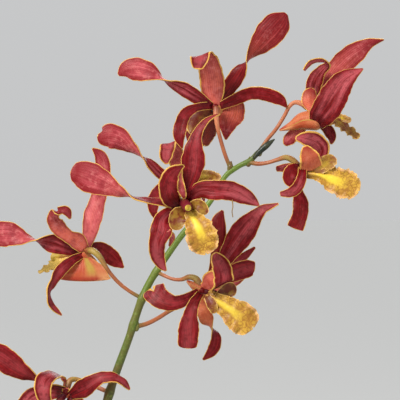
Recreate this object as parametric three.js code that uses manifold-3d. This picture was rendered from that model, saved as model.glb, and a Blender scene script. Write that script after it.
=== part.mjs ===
// A potted antelope-type dendrobium orchid: a terracotta pot of coarse bark, four leafy canes,
// and one arching flower stem with ten twisted, curled blooms.
// Millimetres, +Z up, origin under the middle of the pot's foot.
import * as THREE from "three";
import { mergeVertices } from "three/addons/utils/BufferGeometryUtils.js";
import Module from "manifold-3d";

const wasm = await Module();
wasm.setup();

// Pot and bark
const POT_HEIGHT = 128;
const POT_FOOT_RADIUS = 49;
const POT_TOP_RADIUS = 67;
const RIM_RADIUS = 72;
const RIM_HEIGHT = 24;
const POT_WALL = 6;
const POT_FLOOR = 8;
const POT_SIDES = 28;
const DRAIN_RADIUS = 5;
const DRAIN_RING = 27;
const DRAIN_COUNT = 4;
const BARK_TOP = 104;
const CHIP_COUNT = 13;
const CHIP_RING = 52;
const CHIP_SIZE = [26, 15, 8];

// Clearance between pieces that touch, and the thickness of what is flat
const GAP = 0.3;
const TEPAL_THICKNESS = 0.8;
const LIP_THICKNESS = 0.9;
const LEAF_THICKNESS = 1.4;

// Canes and leaves
const CANE_FOOT = 86;
const CANE_SIDES = 7;
const LEAF_SPACING = 27;
const LEAF_HALF_WIDTH = 12;
const LEAF_PLANE = 55;
const ROOT_RADIUS = 1.7;

// The spray is laid out on a sheet of 400 by 400 units seen from the front, from SHEET_DISTANCE
// away: a point is [across, down, depth in mm], and depth grows away from the viewer. At depth 0
// one unit is SHEET_UNIT, so that a petal of 105 units is about 47 mm long.
const SHEET_UNIT = 0.45;
const SHEET_DISTANCE = 900;
const SHEET_MIDDLE = 200;
const SPRAY_X = 40;
const SPRAY_Z = 610;

const COLOURS = {
  terracotta: "#b5653f",
  bark: "#6b4630",
  cane: "#6f7f35",
  stem: "#6f9631",
  pedicel: "#c9765a",
  tepals: "#a3303a",
  lip: "#e0b53c",
  column: "#6d2138",
};
const ROUGHNESS = {
  terracotta: 0.85,
  bark: 0.9,
  cane: 0.5,
  stem: 0.5,
  pedicel: 0.55,
  tepals: 0.5,
  lip: 0.55,
  column: 0.5,
};

// The flower stem from the cane to its tip: [across, down, depth, radius in units]
const STEM = [
  [79, 646, 1, 5.2],
  [81, 600, -1, 5.4],
  [86, 540, 0, 5.3],
  [92, 480, 0, 5.1],
  [99, 432, 0, 4.7],
  [107, 400, 0, 4.4],
  [116, 372, 0, 4.1],
  [128.5, 338, 0, 3.9],
  [140, 303, 0, 3.9],
  [151, 279, 0, 3.6],
  [167, 255, 0, 3.3],
  [183, 233, 0, 3.1],
  [210, 201, 0, 2.7],
  [225, 176, 0, 2.5],
  [238, 166, 0, 2.5],
  [250, 160, 0, 2.5],
  [257, 153, 0, 2.4],
  [265, 146, 0, 1.6],
];
const TIP_BRACT = [
  [254, 157, -1, 2.4],
  [260, 150.5, -1, 3.6],
  [267, 144.5, -1, 3.8],
  [274, 139, -1, 1],
];

// Each bloom: round pieces as [across, down, depth, radius], flat ones as
// [across, down, depth, half width, turn in degrees]. Turn 0 has the upper face to the viewer,
// 180 the under face, and 90 is edge on.
const BLOOMS = [
  {
    name: "bloom_1",
    heart: [215, 106, 3, 6],
    pedicel: [[229.3, 166, 0, 2], [223.8, 151, -1, 2], [218.2, 131, -2, 2], [216, 117, -2, 2.6],
      [216, 108, -1, 3.4]],
    column: [[213, 105, 6, 3.6], [210, 108, 11, 4], [208, 112, 16, 3.6]],
    chin: [[217, 107, 4, 5], [221, 116, 6, 4.5], [224, 126, 6, 3], [225.5, 136, 5, 1.2]],
    tepals: {
      dorsal: [[215, 107, 3, 5, 180], [213, 92, 1, 11.5, 180], [211.5, 78, -3, 12.3, 180],
        [209, 66, -8, 11.5, 180], [205, 56.5, -13, 11, -150], [201, 54.5, -18, 10.3, -70],
        [198.5, 60.5, -21, 8.7, 0], [197.5, 69, -21, 4.5, 0]],
      leftPetal: [[211, 106, 2, 4, 0], [197, 97, -1, 7, 10], [185, 89.5, -3, 7.5, 15],
        [174, 84, -4, 6.5, 45], [165, 80.3, -5, 6.5, 93], [156, 75.5, -5, 7.5, 140],
        [146, 71, -4, 10.5, 172], [135, 68.5, -3, 11.5, 180], [125.5, 69.5, -2, 9, 180],
        [118, 74.5, -1, 1.5, 180]],
      rightPetal: [[219, 103, 3, 4, 0], [229, 87, 2, 7.5, 0], [237, 75, 1, 8, 5],
        [242, 67, 0, 7.5, 40], [246.5, 60.5, 0, 6.5, 92], [252, 52, -1, 7.2, 145],
        [260.6, 42.7, -2, 11.4, 172], [270.6, 31.2, -3, 14.5, 180], [279.4, 21.2, -3, 12.5, 180],
        [286, 13, -2, 2.5, 180]],
      rightLateral: [[219, 106, 3, 4, 0], [235, 99, 0, 6, -10], [250, 92.8, -2, 6.5, -15],
        [265, 93.8, -3, 6.9, -15], [279, 98.8, -3, 6, -10], [287, 107, -2, 1, 0]],
      rightFlare: [[228, 99, 3, 8, 180], [231, 106, 4, 13, 180], [231, 113, 4, 13.5, 180],
        [228, 121, 4, 11.5, 180], [226.5, 130, 4, 6.5, 180], [225.5, 139.5, 4, 1, 180]],
      leftLateral: [[211, 105, 2, 4, 0], [197, 106.8, -2, 4.3, 0], [186, 112.7, -5, 6, 0],
        [180.7, 124, -6, 6.6, 0], [179, 136, -7, 6, 0], [182, 148, -7, 1, 0]],
    },
    lip: {
      midLobe: [[213, 112, 8, 4, 180], [210, 122, 11, 8.5, 180], [207, 133, 13, 9, 180],
        [204, 146, 13, 3.5, 180]],
      sideLobe: [[211, 110, 8, 4, 180], [200, 114, 9, 9, 180], [193, 125, 9, 7, 180],
        [191, 134, 8, 2, 180]],
    },
  },
  {
    name: "bloom_2",
    heart: [312, 113, -1, 7.5],
    pedicel: [[259, 151, 0, 1.9], [266.8, 139.5, 1, 1.9], [276, 128.3, 0, 1.9],
      [284, 115.6, 0, 1.9], [289, 106.2, -1, 2], [294.5, 102, -1, 2.2], [301, 103, -1, 2.8],
      [307, 107, -1, 3]],
    column: [[318, 116, 1, 3.6], [325, 117, 2, 4], [332, 118, 3, 3.6]],
    chin: [[316, 120, -2, 10], [303, 120.5, -1, 9], [291, 125.5, -1, 4.5], [280, 129.5, -1, 1.2]],
    tepals: {
      dorsal: [[311.5, 110, 0, 5, 30], [312, 93, 3, 7, 15], [315, 80, 3, 8.2, 5],
        [321, 70.5, 1, 6, 20], [327, 64, -2, 3.4, 50], [320, 59.8, -6, 3, 45],
        [310.5, 61.5, -7, 3.2, 45], [303.5, 70, -7, 1.6, 40]],
      farPetal: [[314, 110, 1, 4, 180], [323.5, 90, 5, 8, 180], [333.5, 73.7, 7, 10.4, 180],
        [345.5, 60.2, 7, 11.8, 180], [357.4, 50.6, 6, 10, 175], [369, 43, 5, 5.5, 170],
        [384, 39, 4, 0.8, 160]],
      nearPetal: [[316, 125, -4, 7, 0], [320.5, 116.5, -9, 12.5, 0], [328, 105.5, -11, 14.2, 0],
        [335, 93, -12, 14.1, 0], [342.3, 82, -12, 11.3, 0], [351, 74.5, -11, 7.4, 10],
        [363, 68.3, -9, 0.8, 20]],
      chinLobe: [[304, 124, 1, 5, 180], [294, 134, 2, 6.5, 180], [288, 140, 2, 6, 180],
        [284.5, 145, 2, 2, 180]],
      farLateral: [[317, 119, 2, 4, 0], [326, 127, 4, 5.5, 0], [331.3, 136, 4, 5, 0],
        [331, 144, 4, 1.2, 0]],
    },
    lip: {
      midLobe: [[322, 121, -1, 4, 25], [335, 121, 1, 4.5, 25], [345, 127, 2, 5, 25],
        [352.5, 132.5, 2, 4.6, 25], [358.5, 138, 1, 3.4, 25]],
      sideLobe: [[327, 118, 2, 3, 0], [337, 117.5, 3, 3.5, 0], [344, 118, 3, 3.6, 0],
        [351, 120.5, 3, 2.5, 0]],
    },
  },
  {
    name: "bloom_3",
    heart: [300, 167, -3, 6],
    pedicel: [[248, 161.5, 0, 2.4], [258, 163.2, -1, 2.3], [268, 162, -2, 2], [277, 159.3, -3, 2.1],
      [285, 157, -3, 2.6], [291.5, 159, -3, 3], [297, 164, -3, 3]],
    column: [[304, 168, -2, 3.4], [311, 170, -2, 3.8], [318, 171, -3, 3.4]],
    chin: [[299, 169, -2, 5], [295, 174, 1, 4.5], [290, 179, 3, 1.5]],
    tepals: {
      dorsal: [[301, 166, -3, 4, 0], [313, 162, -2, 5, 0], [320.5, 155, -1, 6, 0],
        [320.5, 147.5, -2, 9.7, 0], [313, 140.3, -4, 9.5, 0], [303.5, 138, -6, 6.8, 0],
        [295, 138, -6, 2, 0]],
      curledPetal: [[300, 166, -4, 4, 0], [292.6, 170.5, -8, 8, 0], [289.6, 179, -9, 7, 0],
        [293, 186, -9, 2.5, 0]],
      farPetal: [[298, 166, 0, 3.5, 180], [287, 167, 2, 4.4, 180], [275.5, 168.5, 2, 2.8, 180]],
      nearLateral: [[302, 167, -5, 4, 0], [301.5, 177, -10, 5, 0], [297, 187, -12, 5.8, 0],
        [290, 192, -12, 5, 0], [279.6, 193.6, -11, 2.5, 0]],
      farLateral: [[301, 168, -1, 4, 0], [297, 186, 2, 4.5, 0], [300.2, 202, 2, 7.8, 0],
        [299.8, 214, 1, 8, 0], [294.6, 228.5, 0, 8.8, 0]],
      dorsalBack: [[311, 169, -5.5, 11.8, 180], [310, 160, -9, 10.7, 180], [307, 152, -10, 8, 180],
        [304.5, 145, -10, 2.5, 180]],
    },
    lip: {
      midLobe: [[307, 173, -4, 5, 0], [319, 174.5, -6, 6.5, 0], [331, 178.5, -7, 12, 0],
        [343.5, 183, -8, 14.5, 0], [352.5, 188, -8, 12.2, 0], [359, 191.5, -8, 6, 0]],
      sideLobe: [[314, 171, -6, 4, 0], [322, 166, -7, 6.5, 0], [329.3, 160, -8, 7.5, 0],
        [332.5, 154.5, -8, 5.3, 0]],
    },
  },
  {
    name: "bloom_4",
    heart: [182, 204, -21, 7],
    pedicel: [[195, 219, 0, 2.2], [193, 214, -7, 2.2], [189, 208, -13, 2.6], [184, 204, -18, 3]],
    column: [[183.5, 201.5, -23.5, 4.4], [185.5, 204.5, -29, 5], [187.5, 207, -34, 4.6]],
    chin: [[184, 207, -20, 5], [189, 214, -15, 4], [193, 222, -12, 1.6]],
    tepals: {
      dorsal: [[178, 205, -23, 6, 0], [170.5, 197, -28, 9.5, 0], [168, 184.5, -31, 9.5, 0],
        [172, 173.5, -32, 8, -10], [179, 167.5, -31, 4, -20], [184, 165, -30, 1, -20]],
      dorsalCurl: [[180, 167.5, -30, 2.5, 180], [179.5, 176, -29, 3, 180],
        [180.5, 186, -29, 4.3, 180], [183, 194, -28, 3.4, 180], [184, 198.5, -27, 1.2, 180]],
      topPetal: [[186, 202, -23, 4, 0], [187.5, 188, -25.5, 6, 0], [191.5, 173, -27, 9.5, 0],
        [193, 159, -27, 11.8, 0], [193.8, 146, -27, 8.8, 0], [197, 133, -26, 5.2, 15],
        [204.5, 122, -25, 3.5, 30], [212.5, 116.3, -24, 2.5, 40], [220, 113.5, -23, 0.8, 50]],
      leftPetal: [[178, 205, -22, 4, 0], [161, 201.5, -25, 5, -35], [147, 199.7, -25, 6, -62],
        [133, 196.3, -24, 6.5, -92], [119, 190, -23, 7.5, -140], [105, 183.5, -21, 11.7, -172],
        [92, 178, -20, 15, -180], [80.3, 173.5, -19, 13.4, -180], [73, 172.3, -19, 8.5, -180],
        [70, 171.8, -19, 1.5, -180]],
      rightLateral: [[186, 201, -23, 4, 0], [199, 190, -27, 8, 0], [214, 189.6, -30, 9.8, 0],
        [230, 190.3, -30, 9.5, 0], [245, 196, -28, 8, 0], [254, 201.5, -26, 4.2, 0],
        [259, 205.5, -25, 0.8, 0]],
      leftLateral: [[178, 206, -22, 4, 0], [164, 217, -28, 8, 0], [160.8, 230, -31, 11, 0],
        [157, 242, -31, 8.3, 0], [157, 254, -29, 7.4, 0], [161, 264, -27, 5, 0],
        [166, 270.5, -26, 1, 0]],
      leftFold: [[168, 230, -31, 2, 180], [172, 236.5, -28, 3, 180], [169, 246, -27, 1, 180]],
    },
    lip: {
      midLobe: [[188, 210, -27, 4, 0], [192.5, 217, -31, 8, 0], [198, 227, -34, 13.5, 0],
        [202, 238, -35, 15.5, 0], [204.5, 247, -34, 13, 0], [206, 254, -33, 7.5, 0]],
      leftLobe: [[185, 210, -26.5, 4, 0], [178.5, 215, -29, 8.5, 0], [177, 223, -30, 8, 0],
        [178.5, 229.5, -30, 5, 0]],
      rightLobe: [[190, 206, -27, 4, 0], [197.5, 205, -29.5, 6.5, 0], [203, 209, -30, 5.5, 0],
        [206, 214, -30, 3, 0]],
    },
  },
  {
    name: "bloom_5",
    heart: [202, 290, -10, 6],
    pedicel: [[156, 271, 0, 2.3], [165, 275.5, -1, 1.9], [173, 278.6, -3, 1.8], [181, 279, -5, 2],
      [189, 276.5, -7, 2.6], [196, 278.5, -8, 3.2], [200, 285, -9, 3.2]],
    column: [[206, 291, -10.5, 3.5], [213, 293, -10.5, 3.9], [220, 295.5, -10.5, 3.5]],
    chin: [[201, 289, -9, 5], [195, 286, -8, 4.5], [187.5, 281, -7, 1.6]],
    tepals: {
      dorsal: [[199, 288, -9, 3.5, 180], [205, 285.5, -11, 5.5, 180], [211.5, 281, -14, 11, 180],
        [221, 283, -19, 11, -105], [223.5, 278, -21, 10, 0], [221, 266, -20, 9.3, 0],
        [216.5, 257.5, -18, 6.5, 0], [213.5, 252.5, -17, 2.5, 0]],
      rightPetal: [[203.5, 289, -9, 4, 0], [220.5, 265, -4, 6.5, 0], [231.3, 248.4, -3, 10.3, 0],
        [241.4, 233.3, -3, 13.1, 0], [251.5, 220.2, -3, 9.6, 0], [258, 213, -3, 6.5, 10],
        [263, 208.5, -3, 5, 20], [270, 206, -3, 3.5, 30], [278.5, 203.3, -3, 1.2, 40]],
      leftPetal: [[198, 291, -11, 4, 0], [184.6, 299.3, -12, 6, 0], [172.8, 302.3, -13, 8, 0],
        [160.5, 298, -12, 10.5, 0], [154, 291, -10, 12, 0], [151.5, 287, -9, 11.5, 0]],
      nearLateral: [[200, 293, -12, 4, 0], [193.5, 303, -15, 5.5, 0], [190, 315, -16, 7.5, 0],
        [188.6, 327, -16, 10.2, 0], [187.7, 339, -15, 10.2, 0], [187, 348, -14, 9, 0]],
      farLateral: [[203.5, 289.5, -9, 4, 0], [222, 278, -5, 7, 0], [235, 272, -3, 9, 0],
        [246, 268.5, -2, 9.3, 0], [252, 267.3, -2, 7.4, 0], [255, 267.5, -2, 5.2, 0]],
    },
    lip: {
      midLobe: [[207, 295, -13, 4.5, 0], [216, 300, -16, 8, 0], [227.8, 307.6, -18, 11.5, 0],
        [238.6, 315.6, -20, 15.5, 0], [247.5, 322.6, -20, 14.4, 0], [253.6, 327.8, -19, 8.3, 0]],
      farLobe: [[216, 299, -15.5, 4, 0], [224, 292.5, -14.5, 6.8, 0], [231, 288.5, -14, 7.2, 0],
        [236, 286.5, -13.5, 4.8, 0]],
      nearLobe: [[207, 296, -15, 3.5, 0], [211.5, 304, -17, 5.3, 0], [214.5, 313, -17, 3, 0]],
    },
  },
  {
    name: "bloom_6",
    heart: [84, 251, 0, 6],
    pedicel: [[140.2, 297, 0, 2.1], [129.5, 290.8, -1, 1.9], [119.6, 283.2, -2, 2],
      [111, 274, -4, 2], [105, 265.5, -6, 2.2], [99, 256, -7, 2.8], [92.5, 250.5, -6, 3.2],
      [86.5, 250, -3, 3.2]],
    column: [[81.5, 251.5, 1, 3.4], [74, 254, 5.5, 3.8], [67, 256.5, 10, 3.4]],
    chin: [[84, 254, -1, 5], [91, 262, 1, 5.5], [98, 269, 1, 4], [106, 275, 1, 1.2]],
    tepals: {
      chinSail: [[83, 254, -1, 4, 180], [83.5, 262, -3, 12, 180], [84.5, 270, -4, 20.5, 180],
        [84.5, 277, -4, 25.5, 180], [84.5, 281, -4, 25.5, 180]],
      dorsal: [[84, 249, -2, 5.5, 180], [77, 240.5, -4, 8.9, 180], [68.5, 236, -6, 6.5, 180],
        [60, 229, -8, 7.6, 180], [54.6, 220.5, -11, 8, 180], [54.5, 213, -15, 5.5, 185],
        [60.4, 209.8, -18, 4, 0], [66.3, 210.8, -18.5, 4.9, 0], [70.2, 218.4, -17, 1.2, 0]],
      topPetal: [[87, 248, 2, 3, 180], [89.5, 233, 3, 7.5, 180], [92.5, 217, 4, 9.7, 180],
        [97, 201, 5, 8.3, 180], [101.5, 184, 6, 7.5, 180], [103.3, 168, 6, 7.3, 180],
        [100, 155.5, 5, 6.3, 180], [92, 147.5, 4, 1, 180]],
      leftPetal: [[81, 251, -1, 4, 0], [67, 248, -3, 7.3, 0], [54.5, 243.5, -4, 9.5, 0],
        [44, 241.3, -5, 9, 45], [34, 240.2, -5, 7.5, 92], [23, 238.5, -5, 8.5, 140],
        [10, 234, -4, 12.2, 175], [-2, 233.5, -3, 12.7, 180], [-10, 232.5, -2, 8.5, 180],
        [-15, 232, -2, 1.5, 180]],
      rightLateral: [[87, 249, 2, 3, 0], [97.5, 247.2, 5, 6.5, 0], [107.7, 253.8, 7, 8.7, 0],
        [116.2, 261, 8, 6.7, 0], [123.6, 267.4, 8, 1, 0]],
      leftLateral: [[83, 254, -2, 3, 0], [71, 260.5, -6, 5, 0], [60.5, 270, -8, 6, 0],
        [52.8, 282, -9, 4.8, 45], [48.9, 292.4, -9, 5, 75], [51.2, 304.8, -8, 4.5, 50],
        [61.6, 315, -7, 0.8, 20]],
    },
    lip: {
      midLobe: [[76, 258, 5, 4, 180], [64, 261.5, 8, 4.5, 180], [55, 263, 10, 5, 170],
        [47, 267.5, 12, 4, 150], [38, 272, 12, 1.5, 140]],
      sideLobe: [[76, 255.5, 6, 3.5, 180], [66, 255.5, 9, 5, 180], [57, 256.5, 10, 6.3, 180],
        [50.5, 259, 10, 3, 180]],
    },
  },
  {
    name: "bloom_7",
    heart: [66, 392, 0, 6],
    pedicel: [[110, 392, 0, 2.4], [100, 388, 3, 2.3], [88, 383, 4, 2.2], [77, 379, 4, 2.4],
      [70, 380, 3, 3], [67, 387, 2, 3.2]],
    column: [[63, 396, -3, 3.4], [59, 401, -6, 3.8], [56, 406, -9, 3.4]],
    chin: [[68, 393, 1, 5], [75, 397, 2, 4.2], [82, 401, 2, 1.5]],
    tepals: {
      dorsal: [[65.5, 390, 0, 4, 180], [65, 381.5, 4, 2.4, 150], [60.5, 375.5, 2, 3.5, -110],
        [52, 373.5, -4, 8, -60], [44.5, 379, -9, 9, -10], [42.5, 388, -12, 8.5, 0],
        [44.5, 398, -12, 7, 0], [51, 407, -9, 2, 0]],
      leftPetal: [[65, 390, 1, 4, 20], [52, 386, 3, 5, 55], [38, 380, 1, 5, 65],
        [27, 374.5, -2, 7.8, 30], [14, 366, -3, 11.2, 0], [1, 357, -3, 12.6, 0],
        [-10, 350, -3, 10, 0], [-18, 345, -3, 1.5, 0]],
      rightPetal: [[70, 395, -2, 4.5, 0], [82, 388.5, -5, 9.5, 0], [92, 381.9, -7, 8, 0],
        [103, 376.8, -8, 6.5, 35], [115, 377.2, -8, 6, 50], [123.6, 382.2, -7, 5, 45],
        [129.5, 389.4, -6, 1, 30]],
      leftLateral: [[63, 393, 2, 4, 0], [47.5, 392.3, 5, 8.3, 0], [33, 396.5, 5, 9.6, 0],
        [23, 407, 3, 8, 0], [16, 419, 1, 1.5, 0]],
      rightLateral: [[69, 396, -1, 4, 0], [78, 405, -4, 8, 0], [84, 417, -6, 9, 0],
        [87, 432, -7, 2, 0]],
    },
    lip: {
      midLobe: [[62, 401, -4, 4, 0], [57, 411, -6, 9, 0], [52, 421, -8, 14, 0],
        [48, 432, -8, 13, 0], [46, 440, -7, 6, 0]],
    },
  },
  {
    name: "bloom_8",
    heart: [180, 178, 15, 6],
    pedicel: [[204, 208, 0, 2.3], [200, 200, 6, 2.2], [193, 192, 12, 2.4], [185, 184, 16, 3.2]],
    column: [[184, 176, 19, 3.4], [188, 175, 25, 3.8], [191, 175, 31, 3.4]],
    chin: [[181, 181, 15, 5], [186, 189, 18, 4], [189, 197, 20, 1.5]],
    tepals: {
      dorsal: [[180, 176, 14, 5, 180], [178, 165, 12, 8, 180], [175.5, 154.5, 8, 8.7, 180],
        [173, 145.7, 4, 8.7, -150], [169, 142.6, 0, 8.3, -70], [166.5, 149.5, -3, 7.5, 0],
        [165.7, 157.4, -3.5, 6.2, 0], [166.5, 163.8, -3, 1.5, 0]],
      leftPetal: [[178, 179, 14, 4, 0], [163, 175, 12, 5.5, 0], [151.5, 164.5, 10, 5.7, -40],
        [140.5, 154.5, 9, 6, -92], [130, 146, 8, 8, -145], [119.5, 138.5, 8, 11.7, -175],
        [109.5, 135.5, 8, 12.7, -180], [102, 136.5, 8, 8.5, -180], [97, 135, 8, 1.5, -180]],
      rightPetal: [[182, 177, 16.5, 4, 0], [189, 166, 26, 8, 20], [192, 154, 34, 10, 40],
        [191, 141, 40, 9, 60], [186, 130, 42, 2, 60]],
      leftLateral: [[176, 181, 13, 4, 0], [163, 188, 9, 7, 0], [154.5, 198, 7, 7, 0],
        [153, 209, 6, 5, 0], [156, 219, 6, 1.5, 0]],
      rightLateral: [[182, 180, 16.5, 4, 0], [192, 187, 25, 7, 0], [199, 194, 31, 7, 0],
        [203, 203, 35, 1.5, 0]],
    },
    lip: {
      midLobe: [[188, 180, 18, 4, 0], [198, 177, 17, 6, 0], [209, 175.5, 14, 6, 0],
        [217, 176.5, 10, 4, 0], [221, 178, 9, 1.5, 0]],
    },
  },
  {
    name: "bloom_9",
    heart: [197, 298, 9, 7],
    pedicel: [[136, 326, 0, 2.5], [147, 323, 2, 2.3], [158, 317.5, 4, 2.2], [170, 310, 6, 2.2],
      [181, 304.5, 8, 2.6], [190, 301, 9, 3.2]],
    column: [[201, 300, 14, 3.4], [204, 303, 20, 3.8], [206, 307, 26, 3.4]],
    chin: [[196, 301, 10, 5], [190, 308, 14, 4], [184, 314, 17, 1.5]],
    tepals: {
      dorsal: [[198, 296, 8.5, 4, 180], [212, 274, 5, 5, 180], [217, 251, 3, 7, 180],
        [217.5, 233, 1, 8.5, 180], [218.5, 219.5, 1, 7, 180], [222.5, 209.5, 1, 1.2, 180]],
      rightPetal: [[199, 296.5, 9, 4, 180], [218, 277, 7, 5, 180], [233, 265, 4, 5, 180],
        [244, 256, 4, 4.3, 180], [255, 246.5, 4, 1.2, 180]],
      leftLateral: [[198, 299, 7.5, 4, 180], [202, 308, 2, 7, 180], [206.5, 318, 1, 7.4, 170],
        [212, 328, 1, 6, 90], [215.9, 338.6, 0, 5.7, 10], [212.2, 350, 0, 5.7, 0],
        [202.5, 359.5, 0, 1.2, 0]],
      leftPetal: [[195, 298, 10.5, 4, 0], [184, 301.5, 18, 4.5, 20], [172, 302, 26, 5.5, 20],
        [161, 298.5, 32, 6.5, 20], [154, 291, 36, 2, 20]],
      rightLateral: [[200, 297.5, 12, 4, 180], [214, 291, 17, 5.5, 180], [228, 283.5, 21, 6.5, 180],
        [240, 275, 24, 6, 180], [248, 268, 26, 1.5, 180]],
    },
    lip: {
      midLobe: [[203, 300, 14, 4, 180], [213, 301.5, 20, 6.5, 180], [224, 306.5, 26, 9, 180],
        [234, 314, 30, 10.5, 180], [241, 320, 32, 5, 180]],
    },
  },
];

// A bloom further down the stem repeats another one, turned about its heart.
const REPEATED_BLOOMS = [
  {
    name: "bloom_10",
    like: "bloom_5",
    heart: [148, 472],
    turn: 60,
    pedicel: [[99, 432, 0, 2.4], [112, 443, -2, 2.3], [126, 456, -5, 2.3], [138, 466, -8, 3],
      [144, 470, -9, 3.2]],
  },
];

// The four canes: foot and top as [x, y, z], swelling radius, and the height of the first leaf
const CANES = [
  { name: "cane_1", foot: [-34, 6], top: [-92, 14, 292], radius: 6.5, firstLeaf: 205 },
  { name: "cane_2", foot: [-11, -4], top: [-16, 2, 424], radius: 7.5, firstLeaf: 215 },
  { name: "cane_3", foot: [13, 5], top: [48, -6, 372], radius: 7, firstLeaf: 190 },
  { name: "cane_4", foot: [35, -6], top: [84, -22, 258], radius: 5.5, firstLeaf: 150 },
];

const HEART_SIDES = 7;
const TUBE_SIDES = 6;

// A repeatable random draw
function randomFrom(seed) {
  let state = seed;
  return () => {
    state = (state + 0x6d2b79f5) | 0;
    let mixed = Math.imul(state ^ (state >>> 15), 1 | state);
    mixed = (mixed + Math.imul(mixed ^ (mixed >>> 7), 61 | mixed)) ^ mixed;
    return ((mixed ^ (mixed >>> 14)) >>> 0) / 4294967296;
  };
}

// A closed geometry as a solid for joining and cutting
function solidOf(geometry) {
  const bare = geometry.clone();
  bare.deleteAttribute("normal");
  bare.deleteAttribute("uv");
  const merged = mergeVertices(bare, 1e-4);
  const points = merged.attributes.position.array;
  const corners = merged.index.array;
  const kept = [];
  let sixVolumes = 0;
  for (let i = 0; i < corners.length; i += 3) {
    const [a, b, c] = corners.slice(i, i + 3);
    if (a === b || b === c || c === a) continue;
    kept.push(a, b, c);
    const [p, q, r] = [a, b, c].map((k) => new THREE.Vector3().fromArray(points, 3 * k));
    sixVolumes += p.dot(q.cross(r));
  }
  if (sixVolumes < 0) kept.reverse();
  const mesh = new wasm.Mesh({
    numProp: 3,
    vertProperties: new Float32Array(points),
    triVerts: new Uint32Array(kept),
  });
  return new wasm.Manifold(mesh);
}

function joined(solids) {
  return solids.reduce((all, one) => all.add(one));
}

// The largest body of a solid: scraps that a cut leaves loose are dropped
function largestBody(solid) {
  return solid.decompose().reduce((best, body) => (body.volume() > best.volume() ? body : best));
}

function meshOf(name, solid, colour) {
  const { vertProperties, triVerts } = solid.getMesh();
  const geometry = new THREE.BufferGeometry();
  geometry.setAttribute("position", new THREE.BufferAttribute(vertProperties, 3));
  geometry.setIndex(new THREE.BufferAttribute(triVerts, 1));
  geometry.computeVertexNormals();
  const material = new THREE.MeshStandardMaterial({
    color: COLOURS[colour],
    roughness: ROUGHNESS[colour],
    metalness: 0,
    flatShading: true,
  });
  const mesh = new THREE.Mesh(geometry, material);
  mesh.name = name;
  return mesh;
}

// A point of the sheet in the part's own frame, with its further numbers turned to millimetres
function onSheet([across, down, depth, half]) {
  const spread = (SHEET_UNIT * (SHEET_DISTANCE + depth)) / SHEET_DISTANCE;
  return [
    SPRAY_X + (across - SHEET_MIDDLE) * spread,
    depth,
    SPRAY_Z + (SHEET_MIDDLE - down) * spread,
    half * SHEET_UNIT,
  ];
}

// Rows of numbers joined by one smooth curve, at t from 0 to rows.length - 1
function along(rows, t) {
  const i = Math.min(Math.floor(t), rows.length - 2);
  const f = t - i;
  const from = rows[i];
  const to = rows[i + 1];
  const before = rows[i - 1] ?? from.map((v, k) => 2 * v - to[k]);
  const after = rows[i + 2] ?? to.map((v, k) => 2 * v - from[k]);
  return from.map((v, k) => {
    const slope = to[k] - before[k];
    const bend = 2 * before[k] - 5 * v + 4 * to[k] - after[k];
    const twist = 3 * (v - to[k]) + after[k] - before[k];
    return v + 0.5 * f * (slope + f * (bend + f * twist));
  });
}

function pointAt(rows, t) {
  return new THREE.Vector3(...along(rows, t).slice(0, 3));
}

function headingAt(rows, t) {
  const step = 0.02;
  const ahead = pointAt(rows, Math.min(t + step, rows.length - 1));
  return ahead.sub(pointAt(rows, Math.max(t - step, 0))).normalize();
}

// A round, tapering piece along rows of [x, y, z, radius]: a turned profile bent along its curve
function sweep(rows, { sides = TUBE_SIDES, rings = rows.length + 1, grow = 0 } = {}) {
  const profile = [new THREE.Vector2(0, 0)];
  const frames = [];
  let side = new THREE.Vector3(0, -1, 0.3);
  for (let k = 0; k < rings; k++) {
    const t = (k / (rings - 1)) * (rows.length - 1);
    const heading = headingAt(rows, t);
    side = side.addScaledVector(heading, -side.dot(heading)).normalize();
    const end = k === 0 ? -grow : k === rings - 1 ? grow : 0;
    const point = pointAt(rows, t).addScaledVector(heading, end);
    frames.push({ point, side: side.clone(), other: heading.clone().cross(side) });
    profile.push(new THREE.Vector2(Math.max(along(rows, t)[3], 0.3) + grow, k));
  }
  profile.push(new THREE.Vector2(0, rings - 1));
  const geometry = new THREE.LatheGeometry(profile, sides);
  const position = geometry.attributes.position;
  for (let i = 0; i < position.count; i++) {
    const frame = frames[Math.round(position.getY(i))];
    const bent = frame.point
      .clone()
      .addScaledVector(frame.side, position.getX(i))
      .addScaledVector(frame.other, position.getZ(i));
    position.setXYZ(i, bent.x, bent.y, bent.z);
  }
  return solidOf(geometry);
}

// The direction across a flat piece at a row of the sheet, turned about the piece's own run
function acrossAt(rows, i, turn) {
  const heading = headingAt(rows, i);
  const viewer = new THREE.Vector3(0, -1, 0);
  const flat = heading.clone().cross(viewer).normalize();
  const facing = flat.clone().cross(heading);
  const angle = THREE.MathUtils.degToRad(turn);
  return flat.multiplyScalar(Math.cos(angle)).addScaledVector(facing, Math.sin(angle));
}

function sheetBlade(stations, options) {
  const rows = stations.map(onSheet);
  return blade(
    rows.map((row, i) => [...row, ...acrossAt(rows, i, stations[i][4]).toArray()]),
    options,
  );
}

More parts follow.
